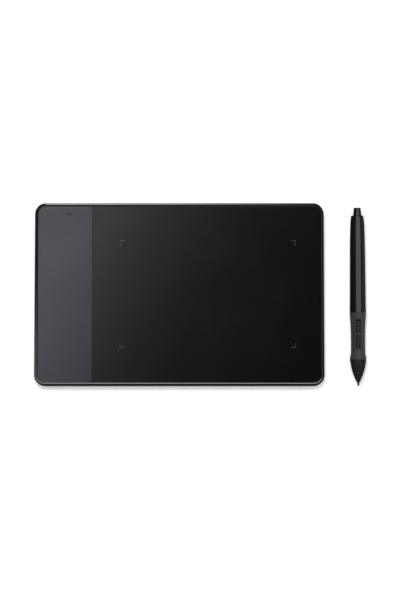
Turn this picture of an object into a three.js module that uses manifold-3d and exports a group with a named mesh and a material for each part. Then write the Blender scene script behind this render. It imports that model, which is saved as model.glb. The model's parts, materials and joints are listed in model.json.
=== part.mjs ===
// A compact pen drawing tablet and its battery-free pen, lying side by side on a desk.
// Millimetres, +Z up. The origin is the middle of the pair's footprint, on the desk: +X runs along
// the tablet's long side towards the pen, and +Y points away from the user.

import * as THREE from "three";
import { mergeVertices } from "three/addons/utils/BufferGeometryUtils.js";
import Module from "manifold-3d";

const wasm = await Module();
wasm.setup();

// ---------------------------------------------------------------- clearances

const seat = 0.05; // between two faces that rest on each other
const slip = 0.1; // around a piece that is fitted into another
const running = 0.15; // around a piece that moves in an opening
const through = 5; // how far a cutting tool runs past the face that it opens

// ---------------------------------------------------------------- the tablet's sizes

const tablet = {
  length: 175,
  width: 111,
  height: 7.5, // desk to rim
  cornerRadius: 6.6,
  upperFillet: 1.8,
  lowerFillet: 1.1,
  sideWall: 1.7,
  rimWidth: 2.1, // from the outer edge to the sheet
};
const foot = { radius: 4.6, proud: 0.8, sunk: 0.55, chamfer: 0.3 };
const screw = {
  fromEdge: 9, // the screw's axis to the tablet's edge, both ways
  shankRadius: 0.95,
  headRadius: 1.8,
  headThickness: 0.9,
  bite: 1.6, // how far the shank enters the boss
  recessWidth: 0.5,
  recessSpan: 2.2,
  recessDepth: 0.4,
};
const boss = { wall: 1.5, clearOfCover: 0.05 };
const cover = {
  plate: 1.4,
  lipHeight: 1.1,
  lipWall: 1.0,
  postWall: 1.4, // around the screw's head
  postFloor: 1.1, // under the screw's head
  ribWall: 1.0,
  ribsAcross: 3,
  ribsAlong: 2,
  ribInset: 14, // from the shield's edge to the outermost ribs' ends
};
const label = { length: 46, width: 22, cornerRadius: 2, thickness: 0.2, recess: 0.3 };
const sheet = { thickness: 0.5, recess: 0.15, cornerRadius: 4.6, jointGap: 0.3 };
const strip = { width: 34.6 }; // from the tablet's left edge to the joint between strip and sheet
const deck = { thickness: 1.2 };
const lens = {
  length: 3.4,
  width: 1.2,
  flange: 0.6, // how far the flange stands out all round
  flangeThickness: 0.4,
  fromLeft: 20.4,
  fromBack: 6.5,
};
const led = { length: 1.6, width: 0.8, height: 0.45 };
const board = { thickness: 0.8, inset: 0.6, bossClearance: 0.4 };
const insulator = { thickness: 0.2 };
const shield = {
  thickness: 0.4,
  fromStrip: 2,
  cornerRadius: 2,
  bossClearance: 0.8,
  bossMargin: 1.45, // left round a boss's hole, towards the plate's edge
};
const usb = {
  width: 7.6,
  height: 2.4,
  depth: 5.6,
  shellWall: 0.3,
  fromBack: 24, // the socket's middle to the tablet's back edge
  sunk: 0.5, // the mouth's place behind the outer wall
  mouthClearance: 0.3,
  tongueWidth: 4.8,
  tongueThickness: 0.7,
  tongueSunk: 0.9,
  tongueDrop: 0.55, // the roof of the shell to the tongue
};
const controller = { size: [9, 9, 1.0], fromLeft: 19, fromBack: 37 };
const crystal = { size: [3.4, 2.6, 0.8], besideController: 1.8, forward: 3 };
const gridSwitch = { size: [5.2, 6.4, 1.1], fromLeft: 25, fromBack: 56, pitch: 16 };

// ---------------------------------------------------------------- the pen's sizes

// The pen is built outwards from its nib: each layer's radius is the last one's and a wall or clearance.
// Stations are distances from the tip of the nib. Heights inside the pen are above its axis.
const pen = {
  length: 108,
  fromTablet: 20.4, // the tablet's right edge to the pen's axis
  nibReach: 2.4, // how far the nib stands out of the cone
  coneLength: 13.3,
  gripLength: 28.5,
  stubLength: 4.6,
};
const nib = { radius: 0.66 };
const ferrite = { boreClearance: 0.2, wall: 0.7, length: 8 };
const coil = { winding: 0.7, length: 6.8 };
const tube = { clearOfCoil: 0.44, wall: 0.7, intoCone: 3.2, intoBarrel: 13.8 };
const cone = { tipWall: 0.19, baseWall: 1.32, bulge: 0.62, cavityLead: 0.3 };
const grip = {
  wall: 0.72, // at the waist
  frontRise: 0.66, // how far the front band stands above the waist
  rearRise: 0.68, // how far the rear band stands above the waist, which makes it the pen's thickest place
  band: 0.7, // the length of either band
  frontFlare: 4,
  rearFlare: 18,
  rearFlarePower: 2.5, // how late the rear flare rises
};
const barrel = {
  wall: 1.27, // at the front
  nose: 0.25, // the rounded front edge
  taper: 0.4, // the even loss of radius over the whole length
  tuck: 0.6, // the further loss of radius near the tail
  tuckPower: 10, // how late the tuck starts
  shoulder: 0.9, // the rounded rear edge
  tailWall: 6,
};
const stub = { baseRadius: 2.4, endRadius: 2.2, edge: 0.45, pegRadius: 2.0, pegLength: 5.5 };
const holder = {
  behindGripFront: 1.6,
  wall: 0.74,
  cupLength: 3.2,
  grip: 2.1, // the length of nib that it holds
  rodRadius: 0.6,
  gapToFerrite: 0.3,
};
const spring = { length: 3.3, turns: 4.5, wireRadius: 0.16, clearOfRod: 0.2 };
const sensor = { clearOfButton: 0.1, length: 4.1, boreDepth: 1.8, rodEntry: 0.7 };
const chassis = { behindBoard: 2 };
const circuit = { edgeClearance: 0.27, thickness: 0.6, length: 45, behindSensor: 0.4 };
const toggle = { length: 3, width: 2.6, clearOfButton: 0.2, boreDepth: 0.7, plungerRadius: 0.6 };
const button = {
  width: 3.0,
  frontLength: 8.4,
  rearLength: 7.2,
  bridge: 1.0, // the bar that parts the two windows
  fromGripFront: 6.6,
  proud: 0.1, // above the waist
  cornerRadius: 0.5,
  edge: 0.2,
  rearRelief: 0.9, // the free length of the window behind the rear button
  travel: 0.25,
  tabGap: 0.16, // between the two buttons' tabs, which meet under the bridge
  tabWidth: 1.4,
  tabThickness: 0.4,
};
const barrelRing = { fromGrip: 7, sectionRadius: 0.22 };
const lead = { radius: 0.1, overlapOnBoard: 2 };
const penChip = { size: [3, 3, 0.9], behindGrip: 9 };
const trimmer = { size: [3, 4, 1.1], behindGrip: 18 };

// ---------------------------------------------------------------- places worked out from the sizes

const height = {};
height.coverBottom = foot.proud;
height.parting = height.coverBottom + cover.plate;
height.lipTop = height.parting + cover.lipHeight;
height.sheetTop = tablet.height - sheet.recess;
height.sheetBottom = height.sheetTop - sheet.thickness;
height.deckTop = height.sheetBottom - seat;
height.deckBottom = height.deckTop - deck.thickness;
height.boardTop = height.deckBottom - seat;
height.boardBottom = height.boardTop - board.thickness;
height.insulatorTop = height.boardBottom - seat;
height.insulatorBottom = height.insulatorTop - insulator.thickness;
height.shieldTop = height.insulatorBottom - seat;
height.shieldBottom = height.shieldTop - shield.thickness;
height.pocketTop = height.coverBottom + foot.sunk + seat;
height.screwHeadBottom = height.pocketTop + seat;
height.screwHeadTop = height.screwHeadBottom + screw.headThickness;
height.postTop = height.screwHeadTop + cover.postFloor;
height.bossBottom = height.postTop + boss.clearOfCover;

const screwX = tablet.length / 2 - screw.fromEdge;
const screwY = tablet.width / 2 - screw.fromEdge;
const corners = [
  { name: "front_left", x: -screwX, y: -screwY },
  { name: "front_right", x: screwX, y: -screwY },
  { name: "rear_left", x: -screwX, y: screwY },
  { name: "rear_right", x: screwX, y: screwY },
];
const bossRadius = screw.shankRadius + slip + boss.wall;
const postRadius = screw.headRadius + slip + cover.postWall;
const leftEdge = -tablet.length / 2;
const backEdge = tablet.width / 2;
const stripEdge = leftEdge + strip.width;
const lensPlace = { x: leftEdge + lens.fromLeft, y: backEdge - lens.fromBack };
const usbPlace = { x: leftEdge + usb.sunk, y: backEdge - usb.fromBack, top: height.boardBottom - seat };
usbPlace.bottom = usbPlace.top - usb.height;
const pastBoss = bossRadius + shield.bossClearance + shield.bossMargin;
const shieldBox = {
  left: stripEdge + shield.fromStrip,
  right: screwX + pastBoss,
  reach: screwY + pastBoss,
};

const station = {};
station.coneTip = pen.nibReach;
station.gripFront = station.coneTip + pen.coneLength;
station.gripRear = station.gripFront + pen.gripLength;
station.barrelRear = pen.length - pen.stubLength;
station.tubeFront = station.gripFront - tube.intoCone;
station.tubeRear = station.gripRear + tube.intoBarrel;
station.holderFront = station.gripFront + holder.behindGripFront;
station.holderRear = station.holderFront + holder.cupLength;
station.nibRear = station.holderFront + holder.grip;
station.sensorFront = station.holderRear + seat + spring.length + seat;
station.sensorRear = station.sensorFront + sensor.length;
station.ferriteRear = station.holderFront - holder.gapToFerrite;
station.ferriteFront = station.ferriteRear - ferrite.length;
station.coilRear = station.ferriteRear - (ferrite.length - coil.length) / 2;
station.coilFront = station.coilRear - coil.length;
station.circuitFront = station.sensorRear + circuit.behindSensor;
station.circuitRear = station.circuitFront + circuit.length;
station.frontButton = station.gripFront + button.fromGripFront;
station.frontButtonEnd = station.frontButton + button.frontLength;
station.rearButton = station.frontButtonEnd + button.bridge + 2 * running;
station.rearButtonEnd = station.rearButton + button.rearLength;
station.barrelRing = station.gripRear + barrelRing.fromGrip;

const frontWindow = [station.frontButton - running, station.frontButtonEnd + running];
const rearWindow = [station.rearButton - running, station.rearButtonEnd + button.rearRelief];

const ferriteBore = nib.radius + ferrite.boreClearance;
const ferriteRadius = ferriteBore + ferrite.wall;
const coilRadius = ferriteRadius + seat + coil.winding;
const tubeBore = coilRadius + tube.clearOfCoil;
const tubeRadius = tubeBore + tube.wall;
const outerBore = tubeRadius + slip; // of the grip, the barrel and the cone's socket
const coneTipRadius = nib.radius + running + cone.tipWall;
const coneBaseRadius = outerBore + cone.baseWall;
const waistRadius = outerBore + grip.wall;
const gripRearRadius = waistRadius + grip.rearRise;
const barrelRadius = outerBore + barrel.wall;
const nibSocket = nib.radius + slip; // in the holder

const buttonTop = waistRadius + button.proud;
const tabTop = Math.sqrt(tubeBore ** 2 - (button.tabWidth / 2) ** 2) - seat;
const tabBottom = tabTop - button.tabThickness;
const tabLength = (button.bridge - button.tabGap) / 2;
const buttonBottom = tabBottom - seat;
const circuitTop = seat + circuit.thickness;
const circuitHalfWidth = Math.sqrt(tubeBore ** 2 - circuitTop ** 2) - circuit.edgeClearance;
const toggleBottom = circuitTop + seat;
const toggleTop = buttonBottom - button.travel - toggle.clearOfButton;
const sensorRadius = buttonBottom - button.travel - sensor.clearOfButton;
const chassisBore = sensorRadius + seat;

const pairWidth = tablet.length + pen.fromTablet + gripRearRadius;
const tabletCentre = (tablet.length - pairWidth) / 2;

// ---------------------------------------------------------------- finishes

/** A plain finish of a colour, roughness and metalness. */
function finish(color, roughness, metalness = 0) {
  return new THREE.MeshStandardMaterial({ color, roughness, metalness });
}
const glossBlack = finish(0x0b0b0c, 0.12);
const satinBlack = finish(0x1c1c1c, 0.42);
const stripGrey = finish(0x504f55, 0.42);
const coverBlack = finish(0x141415, 0.6);
const footRubber = finish(0x1f1f20, 0.9);
const gripRubber = finish(0x454545, 0.8);
const coneBlack = finish(0x262626, 0.65);
const buttonBlack = finish(0x2a2a2a, 0.5);
const smokedLens = finish(0x2c2a30, 0.2);
const labelGrey = finish(0x3a3a3d, 0.5);
const steel = finish(0xb8babd, 0.35, 1);
const boardGreen = finish(0x1d4a2c, 0.55);
const chipBlack = finish(0x17181a, 0.5);
const ivory = finish(0xd9d4c3, 0.5);
const copper = finish(0xb8703a, 0.35, 1);
const ferriteGrey = finish(0x2f3032, 0.7);
const filmAmber = finish(0x8a6a2c, 0.4);

// ---------------------------------------------------------------- shapes and solids

/** A geometry as a manifold-3d solid. */
function solidOf(geometry) {
  const bare = geometry.index ? geometry.toNonIndexed() : geometry.clone();
  bare.deleteAttribute("normal");
  bare.deleteAttribute("uv");
  const merged = mergeVertices(bare, 1e-4);
  const triVerts = Uint32Array.from(merged.index.array);
  const vertProperties = merged.attributes.position.array;
  return new wasm.Manifold(new wasm.Mesh({ numProp: 3, vertProperties, triVerts }));
}

/** A manifold-3d solid as a geometry. */
function geometryOf(solid) {
  const { vertProperties, triVerts } = solid.getMesh();
  return new THREE.BufferGeometry()
    .setAttribute("position", new THREE.BufferAttribute(vertProperties, 3))
    .setIndex(new THREE.BufferAttribute(triVerts, 1));
}

/** The first geometry with the others cut out of it. */
function cut(body, ...tools) {
  return geometryOf(tools.reduce((left, tool) => left.subtract(solidOf(tool)), solidOf(body)));
}

/** All the geometries joined into one. */
function join(body, ...others) {
  return geometryOf(others.reduce((sum, other) => sum.add(solidOf(other)), solidOf(body)));
}

/** What two geometries have in common. */
function common(a, b) {
  return geometryOf(solidOf(a).intersect(solidOf(b)));
}

/** A rectangle with round corners, centred on the origin. */
function rounded(length, width, radius) {
  const x = length / 2 - radius;
  const y = width / 2 - radius;
  return new THREE.Shape()
    .absarc(x, y, radius, 0, Math.PI / 2)
    .absarc(-x, y, radius, Math.PI / 2, Math.PI)
    .absarc(-x, -y, radius, Math.PI, 1.5 * Math.PI)
    .absarc(x, -y, radius, 1.5 * Math.PI, 2 * Math.PI);
}

/** The tablet's outline, drawn in by an inset. */
function tabletOutline(inset, radius = tablet.cornerRadius - inset) {
  return rounded(tablet.length - 2 * inset, tablet.width - 2 * inset, radius);
}

/** A flat shape raised from one height to another. */
function slab(shape, low, high) {
  return new THREE.ExtrudeGeometry(shape, { depth: high - low, bevelEnabled: false, curveSegments: 3 })
    .translate(0, 0, low);
}

/** A slab whose upper and lower edges are both rounded. */
function softSlab(shape, low, high, fillet, bevelSegments = 3) {
  const bevel = { bevelThickness: fillet, bevelSize: fillet, bevelOffset: -fillet, bevelSegments };
  return new THREE.ExtrudeGeometry(shape, { depth: high - low - 2 * fillet, curveSegments: 3, ...bevel })
    .translate(0, 0, low + fillet);
}

/** A box between two opposite corners. */
function block([x0, y0, z0], [x1, y1, z1]) {
  return new THREE.BoxGeometry(x1 - x0, y1 - y0, z1 - z0)
    .translate((x0 + x1) / 2, (y0 + y1) / 2, (z0 + z1) / 2);
}

/** Everything between two heights, wider than the tablet. */
function layer(low, high) {
  return block([-tablet.length, -tablet.width, low], [tablet.length, tablet.width, high]);
}

/** An upright cylinder. */
function post(x, y, radius, low, high, sides = 16) {
  return new THREE.CylinderGeometry(radius, radius, high - low, sides)
    .rotateX(Math.PI / 2)
    .translate(x, y, (low + high) / 2);
}

/** A solid turned about the Y axis from [radius, station] points, in anticlockwise order. */
function turned(points, sides = 24) {
  return new THREE.LatheGeometry(points.map(([r, y]) => new THREE.Vector2(r, y)), sides);
}

/** A turned ring of rectangular section. */
function ring(inner, outer, from, to) {
  return turned([[inner, from], [outer, from], [outer, to], [inner, to], [inner, from]]);
}

/** The points of a quarter round: how far each is drawn in, and how far along it lies. */
function quarterRound(radius, steps = 3) {
  return Array.from({ length: steps }, (_, i) => {
    const turn = ((i + 1) / steps) * (Math.PI / 2);
    return { drawnIn: radius * (1 - Math.cos(turn)), along: radius * Math.sin(turn) };
  });
}

/** A shape drawn across the pen, with x across and y up, carried along it between two stations. */
function alongPen(shape, from, to) {
  return new THREE.ExtrudeGeometry(shape, { depth: to - from, bevelEnabled: false, curveSegments: 6 })
    .rotateX(Math.PI / 2)
    .translate(0, to, 0);
}

/** The [radius, station] points of a profile between two stations, from a radius for each distance. */
function profile(from, to, divisions, radiusAt) {
  return Array.from({ length: divisions + 1 }, (_, i) => {
    const distance = ((to - from) * i) / divisions;
    return [radiusAt(distance), from + distance];
  });
}

/** Adds a named piece of a material to a group. */
function add(group, name, geometry, material) {
  const mesh = new THREE.Mesh(geometry, material);
  mesh.name = name;
  group.add(mesh);
}

// ---------------------------------------------------------------- the tablet's casing

/** The opening in the left wall where the cable's plug goes in, and the room around the socket. */
function usbMouth() {
  const halfWidth = usb.width / 2 + usb.mouthClearance;
  return block(
    [leftEdge - through, usbPlace.y - halfWidth, usbPlace.bottom - usb.mouthClearance],
    [usbPlace.x + usb.depth + slip, usbPlace.y + halfWidth, usbPlace.top + usb.mouthClearance],
  );
}

/** The upper casing: rim, side walls, the deck that the sheet lies on, and four screw bosses. */
function topCase() {
  const form = softSlab(tabletOutline(0), height.parting - through, tablet.height, tablet.upperFillet);
  const below = layer(height.parting - 2 * through, height.parting + seat);
  const hollow = slab(tabletOutline(tablet.sideWall), -through, height.deckBottom);
  const sheetBed = slab(
    tabletOutline(tablet.rimWidth - slip, sheet.cornerRadius + slip),
    height.deckTop,
    tablet.height + through,
  );
  const shell = cut(form, below, hollow, sheetBed, usbMouth());
  const bosses = corners.map(({ x, y }) =>
    post(x, y, bossRadius, height.bossBottom, height.deckBottom + deck.thickness / 2));
  const pilotTop = height.bossBottom + screw.bite + slip;
  const pilots = corners.map(({ x, y }) =>
    post(x, y, screw.shankRadius + slip, height.bossBottom - through, pilotTop));
  const window = slab(lensShape(slip), height.deckBottom - through, height.deckTop + through)
    .translate(lensPlace.x, lensPlace.y, 0);
  const flangeBed = slab(
    lensShape(lens.flange + slip),
    height.deckTop - lens.flangeThickness - seat,
    height.deckTop + through,
  ).translate(lensPlace.x, lensPlace.y, 0);
  return cut(join(shell, ...bosses), ...pilots, window, flangeBed);
}

/** The lower casing: floor plate, lip, ribs, screw posts, and pockets for the feet and the label. */
function bottomCover() {
  const form = softSlab(tabletOutline(0), height.coverBottom, height.parting + through, tablet.lowerFillet);
  const above = layer(height.parting, height.parting + 2 * through);
  const lipInset = tablet.sideWall + running;
  const lip = cut(
    slab(tabletOutline(lipInset), height.parting - cover.plate / 2, height.lipTop),
    slab(tabletOutline(lipInset + cover.lipWall), height.parting - through, height.lipTop + through),
  );
  const posts = corners.map(({ x, y }) =>
    post(x, y, postRadius, height.parting - cover.plate / 2, height.postTop));
  const holes = corners.flatMap(({ x, y }) => [
    post(x, y, foot.radius + running, height.coverBottom - through, height.pocketTop, 24),
    post(x, y, screw.headRadius + slip, height.coverBottom, height.screwHeadTop + seat),
    post(x, y, screw.shankRadius + slip, height.coverBottom, height.postTop + through),
  ]);
  const labelBed = slab(
    rounded(label.length + 2 * running, label.width + 2 * running, label.cornerRadius),
    height.coverBottom - through,
    height.coverBottom + label.recess,
  );
  return cut(join(cut(form, above), lip, ...supportRibs(), ...posts), ...holes, labelBed, usbMouth());
}

/** The ribs on the floor plate that carry the shield, the insulator and the board. */
function supportRibs() {
  const low = height.parting - cover.plate / 2;
  const high = height.shieldBottom - seat;
  const half = cover.ribWall / 2;
  const span = shieldBox.right - shieldBox.left;
  const reach = shieldBox.reach - cover.ribInset;
  const across = Array.from({ length: cover.ribsAcross }, (_, i) => {
    const x = shieldBox.left + (span * (i + 0.5)) / cover.ribsAcross;
    return block([x - half, -reach, low], [x + half, reach, high]);
  });
  const along = Array.from({ length: cover.ribsAlong }, (_, i) => {
    const y = -reach + (2 * reach * (i + 0.5)) / cover.ribsAlong;
    const ends = [shieldBox.left + cover.ribInset, shieldBox.right - cover.ribInset];
    return block([ends[0], y - half, low], [ends[1], y + half, high]);
  });
  return [...across, ...along];
}

/** A rubber foot, with a chamfer round the face that it stands on. */
function rubberFoot() {
  const top = foot.proud + foot.sunk;
  return turned([
    [0, 0],
    [foot.radius - foot.chamfer, 0],
    [foot.radius, foot.chamfer],
    [foot.radius, top],
    [0, top],
  ]).rotateX(Math.PI / 2);
}

/** A pan-head screw standing head down, with a cross recess. */
function caseScrew() {
  const low = height.screwHeadBottom;
  const tip = height.bossBottom + screw.bite;
  const blank = join(
    post(0, 0, screw.headRadius, low, height.screwHeadTop),
    post(0, 0, screw.shankRadius, low, tip, 12),
  );
  const [arm, half] = [screw.recessSpan / 2, screw.recessWidth / 2];
  const floor = low + screw.recessDepth;
  return cut(
    blank,
    block([-arm, -half, low - through], [arm, half, floor]),
    block([-half, -arm, low - through], [half, arm, floor]),
  );
}

// ---------------------------------------------------------------- the tablet's face

/** The sheet's whole field, which the strip and the drawing sheet share. */
function sheetField() {
  return slab(tabletOutline(tablet.rimWidth, sheet.cornerRadius), height.sheetBottom, height.sheetTop);
}

/** The part of the sheet's field between two places along X. */
function sheetPart(from, to) {
  return common(
    sheetField(),
    block([from, -tablet.width, height.sheetBottom - through], [to, tablet.width, tablet.height + through]),
  );
}

/** The lens's rounded slot shape, grown all round. */
function lensShape(grow) {
  const width = lens.width + 2 * grow;
  return rounded(lens.length + 2 * grow, width, width / 2 - 0.01);
}

/** The status light's lens: a window through strip and deck, with a flange under the strip. */
function statusLens() {
  const window = slab(lensShape(0), height.boardTop + led.height + 2 * seat, height.sheetTop);
  const flange = slab(lensShape(lens.flange), height.deckTop - lens.flangeThickness, height.deckTop);
  return join(window, flange);
}

/** Everything that the tablet is made of, about the tablet's own centre. */
function makeTablet() {
  const group = new THREE.Group();
  add(group, "top_case", topCase(), glossBlack);
  add(group, "bottom_cover", bottomCover(), coverBlack);

  const half = sheet.jointGap / 2;
  const lensHole = slab(lensShape(slip), height.sheetBottom - through, tablet.height + through)
    .translate(lensPlace.x, lensPlace.y, 0);
  add(group, "side_strip", cut(sheetPart(-tablet.length, stripEdge - half), lensHole), stripGrey);
  add(group, "drawing_sheet", sheetPart(stripEdge + half, tablet.length), satinBlack);
  add(group, "status_lens", statusLens().translate(lensPlace.x, lensPlace.y, 0), smokedLens);

  for (const { name, x, y } of corners) {
    add(group, `foot_${name}`, rubberFoot().translate(x, y, 0), footRubber);
    add(group, `case_screw_${name}`, caseScrew().translate(x, y, 0), steel);
  }
  const labelTop = height.coverBottom + label.recess - seat;
  const labelShape = rounded(label.length, label.width, label.cornerRadius);
  add(group, "blank_label", slab(labelShape, labelTop - label.thickness, labelTop), labelGrey);
  addElectronics(group);
  return group;
}

// ---------------------------------------------------------------- the tablet's electronics

/** A component that is soldered to the underside of the board. */
function underBoard({ size: [x, y, z], fromLeft, fromBack }) {
  const top = height.boardBottom - seat;
  return block([-x / 2, -y / 2, top - z], [x / 2, y / 2, top])
    .translate(leftEdge + fromLeft, backEdge - fromBack, 0);
}

/** The board, its shielding and what is soldered to it. */
function addElectronics(group) {
  const bossHoles = (grow) =>
    corners.map(({ x, y }) => post(x, y, bossRadius + grow, -through, tablet.height + through));

  const boardInset = tablet.sideWall + board.inset;
  const boardBlank = slab(tabletOutline(boardInset), height.boardBottom, height.boardTop);
  add(group, "sensor_board", cut(boardBlank, ...bossHoles(board.bossClearance)), boardGreen);

  const shieldShape = rounded(shieldBox.right - shieldBox.left, 2 * shieldBox.reach, shield.cornerRadius);
  const shieldX = (shieldBox.left + shieldBox.right) / 2;
  const plate = (low, high) =>
    cut(slab(shieldShape, low, high).translate(shieldX, 0, 0), ...bossHoles(shield.bossClearance));
  add(group, "insulator_sheet", plate(height.insulatorBottom, height.insulatorTop), filmAmber);
  add(group, "shield_plate", plate(height.shieldBottom, height.shieldTop), steel);

  add(group, "controller_chip", underBoard(controller), chipBlack);
  const besideController = {
    size: crystal.size,
    fromLeft: controller.fromLeft - (controller.size[0] + crystal.size[0]) / 2 - crystal.besideController,
    fromBack: controller.fromBack + crystal.forward,
  };
  add(group, "clock_crystal", underBoard(besideController), steel);
  for (const [i, place] of ["rear", "front"].entries()) {
    const fromBack = gridSwitch.fromBack + i * gridSwitch.pitch;
    add(group, `grid_switch_chip_${place}`, underBoard({ ...gridSwitch, fromBack }), chipBlack);
  }

  const ledBody = block(
    [-led.length / 2, -led.width / 2, height.boardTop + seat],
    [led.length / 2, led.width / 2, height.boardTop + seat + led.height],
  );
  add(group, "status_led", ledBody.translate(lensPlace.x, lensPlace.y, 0), ivory);
  addUsbSocket(group);
}

/** The cable socket on the board's left edge: a steel shell and the contact tongue inside it. */
function addUsbSocket(group) {
  const { x, y, top, bottom } = usbPlace;
  const half = usb.width / 2;
  const shell = cut(
    block([x, y - half, bottom], [x + usb.depth, y + half, top]),
    block(
      [x - through, y - half + usb.shellWall, bottom + usb.shellWall],
      [x + usb.depth - usb.shellWall, y + half - usb.shellWall, top - usb.shellWall],
    ),
  );
  add(group, "usb_shell", shell, steel);

  const tongueTop = top - usb.shellWall - usb.tongueDrop;
  const tongue = block(
    [x + usb.tongueSunk, y - usb.tongueWidth / 2, tongueTop - usb.tongueThickness],
    [x + usb.depth - usb.shellWall - seat, y + usb.tongueWidth / 2, tongueTop],
  );
  add(group, "usb_tongue", tongue, chipBlack);
}

// ---------------------------------------------------------------- the pen's casing

/** The two buttons' windows as tools that cut upwards out of the pen. */
function windowTools() {
  const half = button.width / 2 + running;
  return [frontWindow, rearWindow].map(([from, to]) =>
    block([-half, from, 0], [half, to, gripRearRadius + through]));
}

/** The pen's front cone: a bulging nose, bored for the nib, the coil and the inner tube. */
function frontCone() {
  const { coneTip, gripFront, tubeFront, ferriteFront } = station;
  const rear = gripFront - seat;
  const nose = profile(coneTip, rear, 8, (distance) => {
    const share = distance / (rear - coneTip);
    const straight = THREE.MathUtils.lerp(coneTipRadius, coneBaseRadius, share);
    return straight + cone.bulge * Math.sin(Math.PI * share);
  });
  const cavityRadius = coilRadius + running;
  const bore = [
    [outerBore, rear],
    [outerBore, tubeFront - slip],
    [cavityRadius, tubeFront - slip],
    [cavityRadius, ferriteFront - cone.cavityLead],
    [nib.radius + running, ferriteFront - cone.cavityLead],
    [nib.radius + running, coneTip],
  ];
  return turned([...nose, ...bore, nose[0]]);
}

/** The rubber grip: a waisted sleeve with two windows for the buttons. */
function gripSleeve() {
  const from = station.gripFront;
  const to = station.gripRear - seat;
  const rearFlareEnd = to - from - grip.band;
  const outside = profile(from, to, 14, (distance) => {
    const front = 1 - THREE.MathUtils.smoothstep(distance, grip.band, grip.band + grip.frontFlare);
    const share = THREE.MathUtils.clamp((distance - rearFlareEnd) / grip.rearFlare + 1, 0, 1);
    return waistRadius + grip.frontRise * front + grip.rearRise * share ** grip.rearFlarePower;
  });
  const bore = [[outerBore, to], [outerBore, from], outside[0]];
  return cut(turned([...outside, ...bore]), ...windowTools());
}

/** The glossy rear barrel: a long taper with rounded ends, bored at the tail for the plug's peg. */
function rearBarrel() {
  const from = station.gripRear;
  const to = station.barrelRear;
  const start = from + barrel.nose;
  const end = to - barrel.shoulder;
  const outside = profile(start, end, 8, (distance) => {
    const share = distance / (end - start);
    return barrelRadius - barrel.taper * share - barrel.tuck * share ** barrel.tuckPower;
  });
  const rearRadius = barrelRadius - barrel.taper - barrel.tuck;
  const shoulder = quarterRound(barrel.shoulder)
    .map(({ drawnIn, along }) => [rearRadius - drawnIn, end + along]);
  const boreEnd = to - barrel.tailWall;
  const bore = [
    [stub.pegRadius + slip, to],
    [stub.pegRadius + slip, boreEnd],
    [outerBore, boreEnd],
    [outerBore, from],
    [barrelRadius - barrel.nose, from],
  ];
  return turned([...outside, ...shoulder, ...bore, outside[0]]);
}

/** The tail plug: a tapered stub with a rounded end, on a peg that is pressed into the barrel. */
function tailPlug() {
  const base = station.barrelRear + seat;
  const end = pen.length - stub.edge;
  const edge = quarterRound(stub.edge)
    .map(({ drawnIn, along }) => [stub.endRadius - drawnIn, end + along]);
  return turned([
    [0, base - stub.pegLength],
    [stub.pegRadius, base - stub.pegLength],
    [stub.pegRadius, base],
    [stub.baseRadius, base],
    [stub.endRadius, end],
    ...edge,
    [0, pen.length],
  ]);
}

/** The inner tube that joins cone, grip and barrel, with the windows and the groove for the ring. */
function innerTube() {
  const grooveHalf = 2 * barrelRing.sectionRadius + slip;
  const groove = ring(
    tubeRadius - 2 * barrelRing.sectionRadius + slip / 2,
    tubeRadius + through,
    station.barrelRing - grooveHalf,
    station.barrelRing + grooveHalf,
  );
  return cut(ring(tubeBore, tubeRadius, station.tubeFront, station.tubeRear), groove, ...windowTools());
}

/** The rubber ring in the tube's groove, which holds the barrel by friction. */
function frictionRing() {
  const r = barrelRing.sectionRadius;
  const middle = outerBore - seat / 2 - r;
  const section = Array.from({ length: 9 }, (_, i) => {
    const turn = (i / 8) * 2 * Math.PI;
    return [middle + r * Math.cos(turn), station.barrelRing + r * Math.sin(turn)];
  });
  return turned(section);
}

/** A side button over a window: a keycap on a stem, with a tab under the tube's wall at each end. */
function sideButton(from, to, [windowFront, windowRear]) {
  const shape = rounded(button.width, to - from, button.cornerRadius);
  const cap = softSlab(shape, buttonBottom, buttonTop, button.edge, 2).translate(0, (from + to) / 2, 0);
  const half = button.tabWidth / 2;
  const tabs = block(
    [-half, windowFront - tabLength, tabBottom],
    [half, windowRear + tabLength, tabTop],
  );
  return join(cap, tabs);
}

// ---------------------------------------------------------------- the pen's insides

/** The nib: a round-tipped rod. */
function nibRod() {
  const { nibRear } = station;
  const tip = quarterRound(nib.radius).map(({ drawnIn, along }) => [along, drawnIn]);
  return turned([[0, 0], ...tip, [nib.radius, nibRear], [0, nibRear]], 16);
}

/** The nib's holder: a cup that grips the nib, on a rod that works the pressure sensor. */
function nibHolder() {
  const { nibRear, holderFront, holderRear, sensorFront } = station;
  return turned([
    [0, nibRear + slip],
    [nibSocket, nibRear + slip],
    [nibSocket, holderFront],
    [nibSocket + holder.wall, holderFront],
    [nibSocket + holder.wall, holderRear],
    [holder.rodRadius, holderRear],
    [holder.rodRadius, sensorFront + sensor.rodEntry],
    [0, sensorFront + sensor.rodEntry],
  ], 16);
}

/** A helix round the Y axis. */
class Helix extends THREE.Curve {
  constructor(radius, from, to, turns) {
    super();
    Object.assign(this, { radius, from, to, turns });
  }

  getPoint(t, target = new THREE.Vector3()) {
    const turn = t * this.turns * 2 * Math.PI;
    const y = this.from + (this.to - this.from) * t;
    return target.set(this.radius * Math.cos(turn), y, this.radius * Math.sin(turn));
  }
}

/** A round wire along a curve. */
function wire(path, radius, steps, sides = 5) {
  const outline = Array.from({ length: sides }, (_, i) => {
    const turn = (i / sides) * 2 * Math.PI;
    return new THREE.Vector2(radius * Math.cos(turn), radius * Math.sin(turn));
  });
  const along = { steps, extrudePath: path, bevelEnabled: false };
  return new THREE.ExtrudeGeometry(new THREE.Shape(outline), along);
}

/** The spring that pushes the nib out again. */
function nibSpring() {
  const inset = seat + spring.wireRadius;
  const radius = holder.rodRadius + spring.clearOfRod + spring.wireRadius;
  const path = new Helix(radius, station.holderRear + inset, station.sensorFront - inset, spring.turns);
  return wire(path, spring.wireRadius, 10 * spring.turns);
}

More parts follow.
